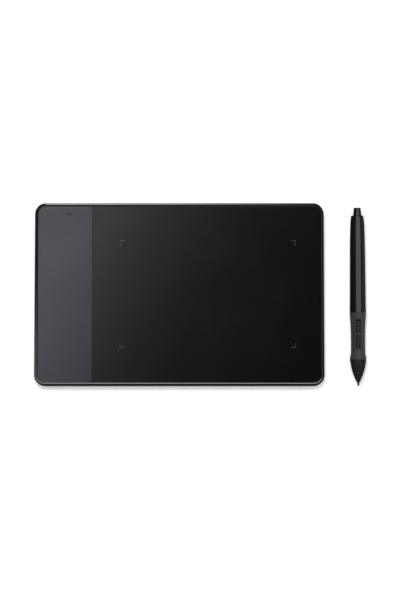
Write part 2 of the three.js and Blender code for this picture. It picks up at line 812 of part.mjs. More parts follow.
/** The pressure sensor's can, bored at the front for the holder's rod. */
function pressureSensor() {
  const { sensorFront, sensorRear } = station;
  const bore = holder.rodRadius + running;
  return turned([
    [0, sensorFront + sensor.boreDepth],
    [bore, sensorFront + sensor.boreDepth],
    [bore, sensorFront],
    [sensorRadius, sensorFront],
    [sensorRadius, sensorRear],
    [0, sensorRear],
  ], 20);
}

/** The half-round channel that the sensor lies in and the circuit board lies on. */
function penChassis() {
  const radius = tubeBore - slip;
  const channel = new THREE.Shape()
    .absarc(0, 0, radius, Math.PI, 2 * Math.PI)
    .lineTo(chassisBore, 0)
    .absarc(0, 0, chassisBore, 2 * Math.PI, Math.PI, true);
  return alongPen(channel, station.sensorFront, station.circuitRear + chassis.behindBoard);
}

/** A component that is soldered to the top of the pen's board. */
function onPenBoard({ size: [x, y, z], behindGrip }) {
  return block([-x / 2, -y / 2, toggleBottom], [x / 2, y / 2, toggleBottom + z])
    .translate(0, station.gripRear + behindGrip, 0);
}

/** Adds a side switch under a button: its housing, and the plunger that the button pushes. */
function addToggle(group, name, middle) {
  const box = block(
    [-toggle.width / 2, middle - toggle.length / 2, toggleBottom],
    [toggle.width / 2, middle + toggle.length / 2, toggleTop],
  );
  const boreFloor = toggleTop - toggle.boreDepth;
  const bore = post(0, middle, toggle.plungerRadius + running, boreFloor, toggleTop + through);
  add(group, `${name}_switch`, cut(box, bore), chipBlack);
  const low = boreFloor + button.travel + seat;
  add(group, `${name}_plunger`, post(0, middle, toggle.plungerRadius, low, buttonBottom - seat), ivory);
}

/** One of the coil's two leads: back along the tube's wall, past the sensor and onto the board. */
function coilLead(side) {
  const { coilRear, sensorFront, sensorRear, circuitFront } = station;
  const edge = circuitHalfWidth + seat;
  const low = circuitTop / 2;
  const high = circuitTop + seat + lead.radius;
  const points = [
    [coilRadius - 2 * lead.radius, coilRear + seat + lead.radius, low],
    [edge, (coilRear + sensorFront) / 2, low],
    [edge, sensorFront, low],
    [edge, sensorRear - 1, low],
    [edge - lead.radius, sensorRear, high],
    [edge - 4 * lead.radius, circuitFront + lead.overlapOnBoard, high],
  ].map(([x, y, z]) => new THREE.Vector3(side * x, y, z));
  return wire(new THREE.CatmullRomCurve3(points), lead.radius, 14);
}

/** Everything that the pen is made of, about its axis, with its nib's tip at the origin. */
function makePen() {
  const group = new THREE.Group();
  add(group, "front_cone", frontCone(), coneBlack);
  add(group, "grip_sleeve", gripSleeve(), gripRubber);
  add(group, "rear_barrel", rearBarrel(), glossBlack);
  add(group, "tail_plug", tailPlug(), glossBlack);
  add(group, "inner_tube", innerTube(), coneBlack);
  add(group, "friction_ring", frictionRing(), footRubber);
  const { frontButton, frontButtonEnd, rearButton, rearButtonEnd } = station;
  add(group, "front_button", sideButton(frontButton, frontButtonEnd, frontWindow), buttonBlack);
  add(group, "rear_button", sideButton(rearButton, rearButtonEnd, rearWindow), buttonBlack);

  add(group, "nib", nibRod(), coneBlack);
  add(group, "nib_holder", nibHolder(), ivory);
  add(group, "nib_spring", nibSpring(), steel);
  add(group, "pressure_sensor", pressureSensor(), steel);
  const { ferriteFront, ferriteRear, coilFront, coilRear } = station;
  add(group, "ferrite_core", ring(ferriteBore, ferriteRadius, ferriteFront, ferriteRear), ferriteGrey);
  add(group, "antenna_coil", ring(ferriteRadius + seat, coilRadius, coilFront, coilRear), copper);
  add(group, "coil_lead_left", coilLead(-1), copper);
  add(group, "coil_lead_right", coilLead(1), copper);

  add(group, "pen_chassis", penChassis(), ivory);
  const boardSlab = block(
    [-circuitHalfWidth, station.circuitFront, seat],
    [circuitHalfWidth, station.circuitRear, circuitTop],
  );
  add(group, "pen_board", boardSlab, boardGreen);
  add(group, "pen_chip", onPenBoard(penChip), chipBlack);
  add(group, "pen_trimmer", onPenBoard(trimmer), ivory);
  addToggle(group, "front", station.circuitFront + seat + toggle.length / 2);
  addToggle(group, "rear", (rearButton + rearButtonEnd) / 2);
  return group;
}

// ---------------------------------------------------------------- the pair on the desk

const pair = new THREE.Group();
const drawingTablet = makeTablet();
drawingTablet.position.set(tabletCentre, 0, 0);
const drawingPen = makePen();
drawingPen.position.set(
  tabletCentre + tablet.length / 2 + pen.fromTablet,
  -tablet.width / 2,
  gripRearRadius,
);
pair.add(drawingTablet, drawingPen);

export default pair;
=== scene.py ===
"""A compact pen drawing tablet and its battery-free pen, given their fine surfaces and finishes.

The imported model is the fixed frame: every place and overall size comes from its boxes. Lengths are
written in millimetres and become metres when a mesh is made. The tablet lies flat with its long side
along X, and the pen lies along Y with its nib towards the user.
"""

import json
import logging
import math
from dataclasses import dataclass, field
from enum import Enum

import bmesh
import bpy
import numpy as np
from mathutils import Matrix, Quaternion, Vector

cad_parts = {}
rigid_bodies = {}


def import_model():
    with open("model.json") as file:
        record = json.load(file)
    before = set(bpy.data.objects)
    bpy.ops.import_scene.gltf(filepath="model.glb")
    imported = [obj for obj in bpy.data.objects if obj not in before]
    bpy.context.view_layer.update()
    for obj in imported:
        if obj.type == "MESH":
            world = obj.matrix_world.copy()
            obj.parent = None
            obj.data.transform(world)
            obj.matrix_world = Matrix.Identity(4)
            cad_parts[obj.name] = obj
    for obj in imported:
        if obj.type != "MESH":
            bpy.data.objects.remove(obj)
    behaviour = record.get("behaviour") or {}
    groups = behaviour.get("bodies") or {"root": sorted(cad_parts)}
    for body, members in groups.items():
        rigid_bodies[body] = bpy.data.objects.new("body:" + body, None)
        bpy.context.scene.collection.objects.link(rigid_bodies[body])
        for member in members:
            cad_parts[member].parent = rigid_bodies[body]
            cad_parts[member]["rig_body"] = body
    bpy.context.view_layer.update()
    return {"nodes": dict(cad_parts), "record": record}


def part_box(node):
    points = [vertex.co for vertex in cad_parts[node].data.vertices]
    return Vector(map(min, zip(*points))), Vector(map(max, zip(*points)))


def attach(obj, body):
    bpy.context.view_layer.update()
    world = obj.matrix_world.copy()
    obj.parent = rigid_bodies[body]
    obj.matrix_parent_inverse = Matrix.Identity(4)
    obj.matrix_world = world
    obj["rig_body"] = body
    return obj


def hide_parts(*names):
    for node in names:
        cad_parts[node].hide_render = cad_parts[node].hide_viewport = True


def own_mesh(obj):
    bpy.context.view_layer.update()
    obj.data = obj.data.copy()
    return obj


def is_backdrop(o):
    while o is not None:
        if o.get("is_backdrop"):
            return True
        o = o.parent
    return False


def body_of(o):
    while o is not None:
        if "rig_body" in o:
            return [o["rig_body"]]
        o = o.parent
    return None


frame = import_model()

MM = 0.001  # one millimetre, in the scene's metres
log = logging.getLogger("pen_tablet")


# ---------------------------------------------------------------- surfaces


class Facing(Enum):
    """Which of the object's axes a section's own x, y and height become."""

    ALONG_X = (2, 0, 1)
    ALONG_Y = (1, 2, 0)


def grid_faces(rows: int, columns: int, closed_rows: bool) -> np.ndarray:
    """The quads of a grid of points whose columns run round and meet.

    Args:
        rows: how many rows of points there are.
        columns: how many points each row has.
        closed_rows: whether the last row joins the first.

    Returns:
        One row of four point numbers for each quad.
    """
    index = np.arange(rows * columns).reshape(rows, columns)
    beside = np.roll(index, -1, axis=1)
    last = rows if closed_rows else rows - 1
    above, above_beside = np.roll(index, -1, axis=0), np.roll(beside, -1, axis=0)
    return np.stack([index, beside, above_beside, above], -1)[:last].reshape(-1, 4)


@dataclass
class Skin:
    """One or more closed surfaces, as points in millimetres and the faces between them."""

    points: np.ndarray
    faces: list[list[int]]

    @classmethod
    def of_grid(cls, grid: np.ndarray, closed_rows: bool = False, capped: bool = False) -> "Skin":
        """A closed surface from a grid of points whose columns run round and meet.

        The enclosed volume is the sum over the triangles of a . (b x c) / 6. Where it comes out
        negative, every face is turned round, so that the faces always point outwards.

        Args:
            grid: points with the shape rows, columns, 3.
            closed_rows: whether the last row joins the first, as on a ring.
            capped: whether the first and the last row are closed by one flat face each.

        Returns:
            The surface.
        """
        rows, columns = grid.shape[:2]
        points = grid.reshape(-1, 3)
        quads = grid_faces(rows, columns, closed_rows)
        triangles = np.concatenate([quads[:, :3], quads[:, [0, 2, 3]]])
        caps = []
        if capped:
            first, last = np.arange(columns)[::-1], np.arange(columns) + (rows - 1) * columns
            caps = [first, last]
            fans = [np.stack([np.full(columns - 2, c[0]), c[1:-1], c[2:]], -1) for c in caps]
            triangles = np.concatenate([triangles, *fans])
        a, b, c = (points[triangles[:, i]] for i in range(3))
        outwards = np.einsum("ij,ij->i", a, np.cross(b, c)).sum() > 0
        faces = quads.tolist() + [cap.tolist() for cap in caps]
        return cls(points, faces if outwards else [face[::-1] for face in faces])

    def facing(self, facing: Facing) -> "Skin":
        """The same surface with its height axis turned to one of the object's axes."""
        return Skin(self.points[:, list(facing.value)], self.faces)

    def moved(self, x: float = 0.0, y: float = 0.0, z: float = 0.0) -> "Skin":
        """The same surface in another place."""
        return Skin(self.points + np.array([x, y, z]), self.faces)

    def with_skins(self, *others: "Skin") -> "Skin":
        """This surface and others as the parts of one piece."""
        points, faces = [self.points], list(self.faces)
        count = len(self.points)
        for other in others:
            faces += [[corner + count for corner in face] for face in other.faces]
            points.append(other.points)
            count += len(other.points)
        return Skin(np.concatenate(points), faces)


def arc(radius: float, start: float, end: float, steps: int) -> np.ndarray:
    """Points on an arc about the origin.

    Args:
        radius: the arc's radius.
        start: the first point's angle in degrees, anticlockwise from the first axis.
        end: the last point's angle in degrees.
        steps: how many chords make the arc.

    Returns:
        Points with the shape steps + 1, 2.
    """
    turn = np.radians(np.linspace(start, end, steps + 1))
    return radius * np.stack([np.cos(turn), np.sin(turn)], -1)


def run(*parts: np.ndarray | tuple[float, float]) -> np.ndarray:
    """One profile from single points and rows of points, in order."""
    return np.concatenate([np.atleast_2d(np.asarray(part, float)) for part in parts])


@dataclass(frozen=True)
class Plate:
    """A rectangle with round corners, drawn in step by step from its edge to its middle line.

    At an inset d each half side is shorter by d, and each corner's radius is the larger of its own
    radius less d, and nothing.
    """

    length: float
    width: float
    radii: tuple[float, float, float, float]  # rear right, rear left, front left, front right
    steps: int = 16  # chords in each corner

    @classmethod
    def even(cls, length: float, width: float, radius: float, steps: int = 16) -> "Plate":
        """A plate whose four corners are alike."""
        return cls(length, width, (radius,) * 4, steps)

    def ring(self, inset: np.ndarray) -> np.ndarray:
        """The outline at each inset.

        Args:
            inset: one inset for each row.

        Returns:
            Points with the shape rows, columns, 2.
        """
        inset = np.asarray(inset, float)[:, None, None]
        turn = np.radians(np.linspace(0, 90, self.steps + 1)[None, :] + np.arange(4)[:, None] * 90)
        signs = np.array([[1, 1], [-1, 1], [-1, -1], [1, -1]], float)
        radius = np.maximum(np.array(self.radii)[None, :, None] - inset, 0)
        half = np.array([self.length, self.width]) / 2
        centre = signs[None, :, None, :] * (half - inset[..., None] - radius[..., None])
        way = np.stack([np.cos(turn), np.sin(turn)], -1)[None]
        return (centre + radius[..., None] * way).reshape(len(inset), -1, 2)

    def carry(self, profile: np.ndarray, closed: bool = False) -> Skin:
        """A profile of (inset, height) points carried round the outline.

        Args:
            profile: the profile, which ends on the middle line unless it is closed.
            closed: whether the profile joins its own start, as on a ring.

        Returns:
            The surface.
        """
        outline = self.ring(profile[:, 0])
        height = np.broadcast_to(profile[:, 1][:, None, None], (*outline.shape[:2], 1))
        return Skin.of_grid(np.concatenate([outline, height], -1), closed_rows=closed)

    def slab(self, low: float, high: float, edge: float, crown_rows: int = 1) -> Skin:
        """A flat slab with both its edges rounded.

        Args:
            low: its lower face's height.
            high: its upper face's height.
            edge: the radius of its rounded edges.
            crown_rows: how many rows of faces lie between the edge and the middle line.

        Returns:
            The surface.
        """
        middle = min(self.length, self.width) / 2
        lower = arc(edge, 270, 180, 5) + (edge, low + edge)
        upper = arc(edge, 180, 90, 5) + (edge, high - edge)
        support = min(1.6 * edge, (middle + edge) / 2)
        across = np.linspace(support, middle, crown_rows + 1)
        top = np.stack([across, np.full_like(across, high)], -1)
        return self.carry(run((middle, low), (support, low), lower, upper, top))


def turned(profile: np.ndarray, sides: int = 128, closed: bool = False) -> Skin:
    """A profile of (radius, height) points turned about the height axis.

    Args:
        profile: the profile, from axis to axis unless it is closed.
        sides: how many steps make the full turn.
        closed: whether the profile joins its own start, as on a tube.

    Returns:
        The surface.
    """
    turn = np.linspace(0, 2 * np.pi, sides, endpoint=False)
    radius, height = profile[:, 0][:, None], profile[:, 1][:, None]
    height = np.broadcast_to(height, (len(profile), sides))
    grid = np.stack([radius * np.cos(turn), radius * np.sin(turn), height], -1)
    return Skin.of_grid(grid, closed_rows=closed)


def drawn(section: np.ndarray, stations: np.ndarray) -> Skin:
    """A closed section of (x, y) points drawn straight along the height axis.

    Args:
        section: the section's corners, in order.
        stations: the heights of the rows.

    Returns:
        The surface, closed by a flat face at each end.
    """
    rows = np.broadcast_to(section, (len(stations), *section.shape))
    height = np.broadcast_to(stations[:, None, None], (*rows.shape[:2], 1))
    return Skin.of_grid(np.concatenate([rows, height], -1), capped=True)


def wire(path: np.ndarray, radius: float, sides: int = 10) -> Skin:
    """A round wire along a path that never runs straight up its own first reference way.

    Each ring lies across the path's tangent: its two directions are the cross product of the tangent
    with the way back to the path's mean line, and the cross product of those two.

    Args:
        path: the wire's centre line, with the shape rows, 3.
        radius: the wire's radius.
        sides: how many points each ring has.

    Returns:
        The surface, with flat ends.
    """
    tangent = np.gradient(path, axis=0)
    tangent /= np.linalg.norm(tangent, axis=1, keepdims=True)
    outward = path - np.array([0.0, 0.0, 1.0]) * path[:, 2:3]
    first = np.cross(tangent, outward)
    first /= np.linalg.norm(first, axis=1, keepdims=True)
    second = np.cross(tangent, first)
    turn = np.linspace(0, 2 * np.pi, sides, endpoint=False)[None, :, None]
    grid = path[:, None] + radius * (first[:, None] * np.cos(turn) + second[:, None] * np.sin(turn))
    return Skin.of_grid(grid, capped=True)


def box_of(node: str) -> tuple[np.ndarray, np.ndarray]:
    """A CAD node's lowest and highest corners at rest, in millimetres."""
    low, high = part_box(node)
    return np.array(low) / MM, np.array(high) / MM


# ---------------------------------------------------------------- pieces


@dataclass
class Piece:
    """One visible piece while it is made: its surface, what is cut from it, and what it stands for."""

    name: str
    skin: Skin
    body: str
    slot: str
    finish: "Finish"
    replaces: tuple[str, ...] = ()
    added: list[Skin] = field(default_factory=list)  # joined on by a boolean
    cuts: list[Skin] = field(default_factory=list)  # cut away by a boolean
    sharp_degrees: float = 32.0  # faces that meet at a steeper angle keep a sharp edge
    shortens: str = ""  # the joint whose travel is read for it

    def build(self) -> bpy.types.Object:
        """Makes the object, rides it on its body and gives it its finish.

        Returns:
            The finished object.
        """
        made = self._object(self.name, self.skin)
        for skins, operation in ((self.added, "UNION"), (self.cuts, "DIFFERENCE")):
            for skin in skins:
                self._combine(made, skin, operation)
        mesh = made.data
        mesh.polygons.foreach_set("use_smooth", np.ones(len(mesh.polygons), bool))
        mesh.set_sharp_from_angle(angle=math.radians(self.sharp_degrees))
        mesh.materials.clear()
        mesh.materials.append(self.finish.material())
        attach(made, self.body)
        if self.replaces:
            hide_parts(*self.replaces)
        if self.shortens:
            self._shorten(made)
        log.info("%s: %d faces, on %s", self.name, len(mesh.polygons), self.body)
        return made

    def _shorten(self, made: bpy.types.Object) -> None:
        """Reads its joint's travel and its stations along Y, and gives the piece a mesh of its own; it
        isn't shortened.
        """
        joints = frame["record"]["behaviour"]["joints"]
        travel = next(joint["range_m"][1] for joint in joints if joint["name"] == self.shortens)
        stations = self.skin.points[:, 1] * MM
        first, last = float(stations.min()), float(stations.max())
        1 - travel / (last - first)
        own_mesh(made)

    @staticmethod
    def _object(name: str, skin: Skin) -> bpy.types.Object:
        """A mesh object from a skin, in metres, with the points of its poles merged.

        Args:
            name: the object's name.
            skin: the surface in millimetres.

        Returns:
            The object, linked to the scene.
        """
        mesh = bpy.data.meshes.new(name)
        mesh.from_pydata((skin.points * MM).tolist(), [], skin.faces)
        work = bmesh.new()
        work.from_mesh(mesh)
        bmesh.ops.remove_doubles(work, verts=work.verts, dist=1e-7)
        work.to_mesh(mesh)
        work.free()
        mesh.update()
        made = bpy.data.objects.new(name, mesh)
        bpy.context.scene.collection.objects.link(made)
        return made

    @classmethod
    def _combine(cls, made: bpy.types.Object, skin: Skin, operation: str) -> None:
        """Joins a skin to an object's mesh or cuts it away, and keeps the result as the mesh.

        Args:
            made: the object to change.
            skin: the tool's surface.
            operation: UNION or DIFFERENCE.
        """
        tool = cls._object("tool", skin)
        modifier = made.modifiers.new("combine", "BOOLEAN")
        modifier.operation, modifier.object, modifier.solver = operation, tool, "EXACT"
        bpy.context.view_layer.update()
        result = bpy.data.meshes.new_from_object(
            made.evaluated_get(bpy.context.evaluated_depsgraph_get()))
        made.modifiers.clear()
        old, made.data = made.data, result
        result.name = made.name
        bpy.data.meshes.remove(old)
        tool_mesh = tool.data
        bpy.data.objects.remove(tool)
        bpy.data.meshes.remove(tool_mesh)


# ---------------------------------------------------------------- shader graph


class Signal:
    """A number that varies over a surface, with operators that add Math nodes."""

    def __init__(self, graph: "Graph", socket: bpy.types.NodeSocket) -> None:
        """Wraps a node's output."""
        self.graph, self.socket = graph, socket

    def __add__(self, other: "Signal | float") -> "Signal":
        """This plus other."""
        return self.graph.math("ADD", self, other)

    def __mul__(self, other: "Signal | float") -> "Signal":
        """This times other."""
        return self.graph.math("MULTIPLY", self, other)

    def __sub__(self, other: "Signal | float") -> "Signal":
        """This less other."""
        return self.graph.math("SUBTRACT", self, other)

    def __rsub__(self, other: float) -> "Signal":
        """Other less this."""
        return self.graph.math("SUBTRACT", other, self)

    def __truediv__(self, other: "Signal | float") -> "Signal":
        """This divided by other."""
        return self.graph.math("DIVIDE", self, other)

    def __pow__(self, other: "Signal | float") -> "Signal":
        """This to the power of other."""
        return self.graph.math("POWER", self, other)

    def __lt__(self, other: "Signal | float") -> "Signal":
        """One where this is less than other, and nothing elsewhere."""
        return self.graph.math("LESS_THAN", self, other)

    __radd__ = __add__
    __rmul__ = __mul__


class Axis(Enum):
    """The object's axes, as the Separate XYZ node names them."""

    X = "X"
    Y = "Y"
    Z = "Z"


class Graph:
    """A node tree that is written as expressions."""

    def __init__(self, tree: bpy.types.NodeTree) -> None:
        """Empties the tree, to start afresh."""
        self.nodes, self.links = tree.nodes, tree.links
        self.nodes.clear()

    def node(self, kind: str, settings: dict | None = None, inputs: dict | None = None,
             output: int = 0) -> "Signal | None":
        """Adds a node.

        Args:
            kind: the node's type.
            settings: its own settings, which are set first.
            inputs: values or links for its sockets, by name or number.
            output: which of its outputs is wanted.

        Returns:
            That output, or nothing from a node that has none.
        """
        made = self.nodes.new(kind)
        for name, value in (settings or {}).items():
            setattr(made, name, value)
        for name, value in (inputs or {}).items():
            self.feed(made.inputs[name], value)
        return Signal(self, made.outputs[output]) if made.outputs else None

    def feed(self, socket: bpy.types.NodeSocket, value: "Signal | float | tuple") -> None:
        """Links a signal to a socket, or sets the socket's own value."""
        if isinstance(value, Signal):
            self.links.new(value.socket, socket)
        else:
            socket.default_value = value

    def math(self, operation: str, a: "Signal | float", b: "Signal | float") -> Signal:
        """A Math node on two values."""
        return self.node("ShaderNodeMath", {"operation": operation}, {0: a, 1: b})

    def part(self, vector: Signal, axis: Axis) -> Signal:
        """One of a vector's three numbers."""
        return self.node("ShaderNodeSeparateXYZ", inputs={0: vector}, output=list(Axis).index(axis))

    def between(self, value: Signal, low: float, high: float) -> Signal:
        """A value spread smoothly from 0 at low to 1 at high."""
        return self.node("ShaderNodeMapRange", {"interpolation_type": "SMOOTHSTEP"},
                         {"Value": value, "From Min": low, "From Max": high})

    def mixed(self, share: Signal, a: "Signal | tuple", b: "Signal | tuple") -> Signal:
        """Colour a where share is 0, and colour b where it is 1."""
        return self.node("ShaderNodeMix", {"data_type": "RGBA"}, {0: share, 6: a, 7: b}, output=2)


class Coating(Graph):
    """The nodes of one material, which end in a Principled BSDF."""

    def __init__(self, name: str) -> None:
        """Starts a material with nothing but its shader and its output."""
        self.material = bpy.data.materials.new(name)
        self.material.use_nodes = True
        super().__init__(self.material.node_tree)
        self.shader = self.nodes.new("ShaderNodeBsdfPrincipled")
        output = self.nodes.new("ShaderNodeOutputMaterial")
        self.links.new(self.shader.outputs["BSDF"], output.inputs["Surface"])

    def place(self, stretch: tuple[float, float, float] = (1, 1, 1)) -> Signal:
        """The point on the object, in millimetres, squeezed along its axes.

        Args:
            stretch: how much longer a pattern is along each axis.

        Returns:
            The vector.
        """
        point = self.node("ShaderNodeTexCoord", output=3)
        scale = tuple(1 / (MM * share) for share in stretch)
        return self.node("ShaderNodeVectorMath", {"operation": "MULTIPLY"}, {0: point, 1: scale})

    def along(self, axis: Axis) -> Signal:
        """The point's distance along one axis, in millimetres."""
        return self.part(self.place(), axis)

    def noise(self, size: float, detail: float = 2.0,
              stretch: tuple[float, float, float] = (1, 1, 1)) -> Signal:
        """A soft random pattern from 0 to 1.

        Args:
            size: the pattern's grain in millimetres.
            detail: how many finer layers lie on it.
            stretch: how much longer it is along each axis.

        Returns:
            The pattern.
        """
        return self.node("ShaderNodeTexNoise", inputs={
            "Vector": self.place(stretch), "Scale": 1 / size, "Detail": detail})

    def specks(self, size: float, radius: float) -> Signal:
        """Scattered round spots: one in each cell of a random pattern.

        Args:
            size: the cells' size in millimetres.
            radius: the spots' radius in millimetres.

        Returns:
            One inside the spots and nothing outside them.
        """
        distance = self.node("ShaderNodeTexVoronoi",
                             inputs={"Vector": self.place(), "Scale": 1 / size})
        return distance < radius / size

    def stripes(self, axis: Axis, pitch: float) -> Signal:
        """A triangle wave from 0 on each line to 1 half way between two lines."""
        wave = self.math("PINGPONG", self.along(axis), pitch / 2)
        return wave / (pitch / 2)

    def bump(self, height: Signal, depth: float) -> Signal:
        """The normal of a surface whose relief is height, from 0 to 1, times depth in millimetres."""
        return self.node("ShaderNodeBump",
                         inputs={"Height": height, "Distance": depth * MM, "Strength": 1.0})

    def shade(self, **sockets: "Signal | float | tuple") -> None:
        """Sets the shader's sockets, each named with low lines for its spaces."""
        for name, value in sockets.items():
            title = " ".join(w if w == "IOR" else w.capitalize() for w in name.split("_"))
            self.feed(self.shader.inputs[title], value)


def tone(level: float) -> tuple[float, float, float, float]:
    """A grey of a linear level."""
    return (level, level, level, 1.0)


# ---------------------------------------------------------------- finishes


@dataclass(frozen=True)
class Finish:
    """What every finish states: its name, its colour, its roughness and its mirror strength."""

    name: str
    colour: tuple[float, float, float, float]
    roughness: float
    specular_IOR_level: float = 0.5

    def material(self) -> bpy.types.Material:
        """The finish's material, made the first time it is asked for."""
        found = bpy.data.materials.get(self.name)
        if found:
            return found
        graph = Coating(self.name)
        graph.shade(specular_IOR_Level=self.specular_IOR_level)
        self.dress(graph)
        return graph.material

    def dress(self, graph: Coating) -> None:
        """Adds the finish's own nodes."""
        raise NotImplementedError

    def shaded(self, share: float) -> tuple[float, float, float, float]:
        """The finish's colour made lighter or darker."""
        return (*(channel * share for channel in self.colour[:3]), 1.0)


@dataclass(frozen=True)
class Gloss(Finish):
    """Polished moulded plastic: a faint wave under the shine, and a few specks of dust on it."""

    wave: float = 6.0  # the size of the moulding's wave
    wave_depth: float = 0.003
    smear: float = 14.0  # the size of the duller patches
    dust_cell: float = 2.4
    dust_radius: float = 0.05

    def dress(self, graph: Coating) -> None:
        """Roughness rises where the gloss is smeared and on dust, and the normal follows the wave."""
        dust = graph.specks(self.dust_cell, self.dust_radius)
        smear = graph.between(graph.noise(self.smear, 3.0), 0.4, 0.75)
        graph.shade(
            base_color=graph.mixed(dust * 0.5, self.colour, tone(0.05)),
            roughness=self.roughness + smear * 0.05 + dust * 0.4,
            normal=graph.bump(graph.noise(self.wave, 1.0), self.wave_depth),
        )


@dataclass(frozen=True)
class Grained(Finish):
    """Moulded plastic, rubber or film with a fine grain all over it."""

    grain: float = 0.2
    depth: float = 0.01
    mottle: float = 0.25  # how far the colour strays with the grain
    patch: float = 9.0  # the size of the slow change in tone
    stretch: tuple[float, float, float] = (1, 1, 1)
    sheen: float = 0.0
    coat: float = 0.0
    fine_size: float = 0.37  # the finer layer's grain, as a share of the coarse one's
    fine_share: float = 0.35  # its share of the relief

    def dress(self, graph: Coating) -> None:
        """Two layers of grain carry the relief, and they and a slow patchiness carry the tone."""
        coarse = graph.noise(self.grain, 3.0, self.stretch)
        fine = graph.noise(self.grain * self.fine_size, 1.0, self.stretch)
        patch = graph.noise(self.patch, 2.0)
        relief = coarse * (1 - self.fine_share) + fine * self.fine_share
        shift = graph.between(relief * 0.8 + patch * 0.2, 0.3, 0.7)
        graph.shade(
            base_color=graph.mixed(shift, self.shaded(1 - self.mottle), self.shaded(1 + self.mottle)),
            roughness=self.roughness + (patch - 0.5) * 0.08 + (0.5 - relief) * 0.12,
            normal=graph.bump(relief, self.depth),
            sheen_Weight=self.sheen,
            coat_Weight=self.coat,
        )


@dataclass(frozen=True)
class Metal(Finish):
    """Bare metal, drawn or rolled one way, with a few darker stains."""

    stretch: tuple[float, float, float] = (1, 12, 1)  # the way it was drawn
    line: float = 0.08
    stain: float = 0.25

    def dress(self, graph: Coating) -> None:
        """Fine lines carry the roughness and the relief, and stains darken the colour."""
        lines = graph.noise(self.line, 2.0, self.stretch)
        stain = graph.between(graph.noise(3.0, 4.0), 0.45, 0.8)
        graph.shade(
            base_color=graph.mixed(stain * self.stain, self.colour, self.shaded(0.45)),
            metallic=1.0,
            roughness=self.roughness + lines * 0.15 + stain * 0.15,
            normal=graph.bump(lines, 0.002),
        )


@dataclass(frozen=True)
class Winding(Finish):
    """Fine varnished wire wound in touching turns round the pen's axis."""

    pitch: float = 0.2

    def dress(self, graph: Coating) -> None:
        """Each turn is a half round across its own pitch, with painted shade darkening the grooves
        between turns.
        """
        ridge = (1 - (1 - graph.stripes(Axis.Y, self.pitch)) ** 2.0) ** 0.5
        graph.shade(
            # painted shade: the colour falls to three tenths of the copper's in the grooves between
            # turns
            base_color=graph.mixed(ridge, self.shaded(0.3), self.colour),
            metallic=1.0,
            roughness=self.roughness + (1 - ridge) * 0.3,
            normal=graph.bump(ridge, self.pitch / 2),
            coat_Weight=0.6,
        )


@dataclass(frozen=True)
class Laminate(Finish):
    """A circuit board's solder mask, with the copper tracks showing under it as lines."""

    pitch: float = 5.5
    track: float = 0.5

    def dress(self, graph: Coating) -> None:
        """Lines cross both ways at one pitch, lighter and a little raised, over a woven grain."""
        share = self.track / self.pitch
        across, along = graph.stripes(Axis.X, self.pitch), graph.stripes(Axis.Y, self.pitch)
        lines = graph.math("MAXIMUM", across < share, along < share)
        weave = graph.noise(0.5, 2.0)
        graph.shade(
            base_color=graph.mixed(lines * 0.7 + weave * 0.2, self.colour, self.shaded(2.1)),
            roughness=self.roughness + weave * 0.12,
            normal=graph.bump(lines + weave * 0.2, 0.03),
            coat_Weight=0.4,
        )


@dataclass(frozen=True)
class Clear(Finish):
    """A tinted lens: dark and polished, with fine hairlines from wiping."""

    def dress(self, graph: Coating) -> None:
        """Long thin noise, cut to its crests, dulls the shine along the hairlines."""
        hairlines = graph.between(graph.noise(0.3, 2.0, (14, 1, 1)), 0.62, 0.7)
        depth = graph.noise(1.5, 2.0)
        graph.shade(
            base_color=graph.mixed(depth, self.shaded(0.8), self.shaded(1.25)),
            roughness=self.roughness + hairlines * 0.15,
            normal=graph.bump(depth, 0.004),
            coat_Weight=0.15,
        )


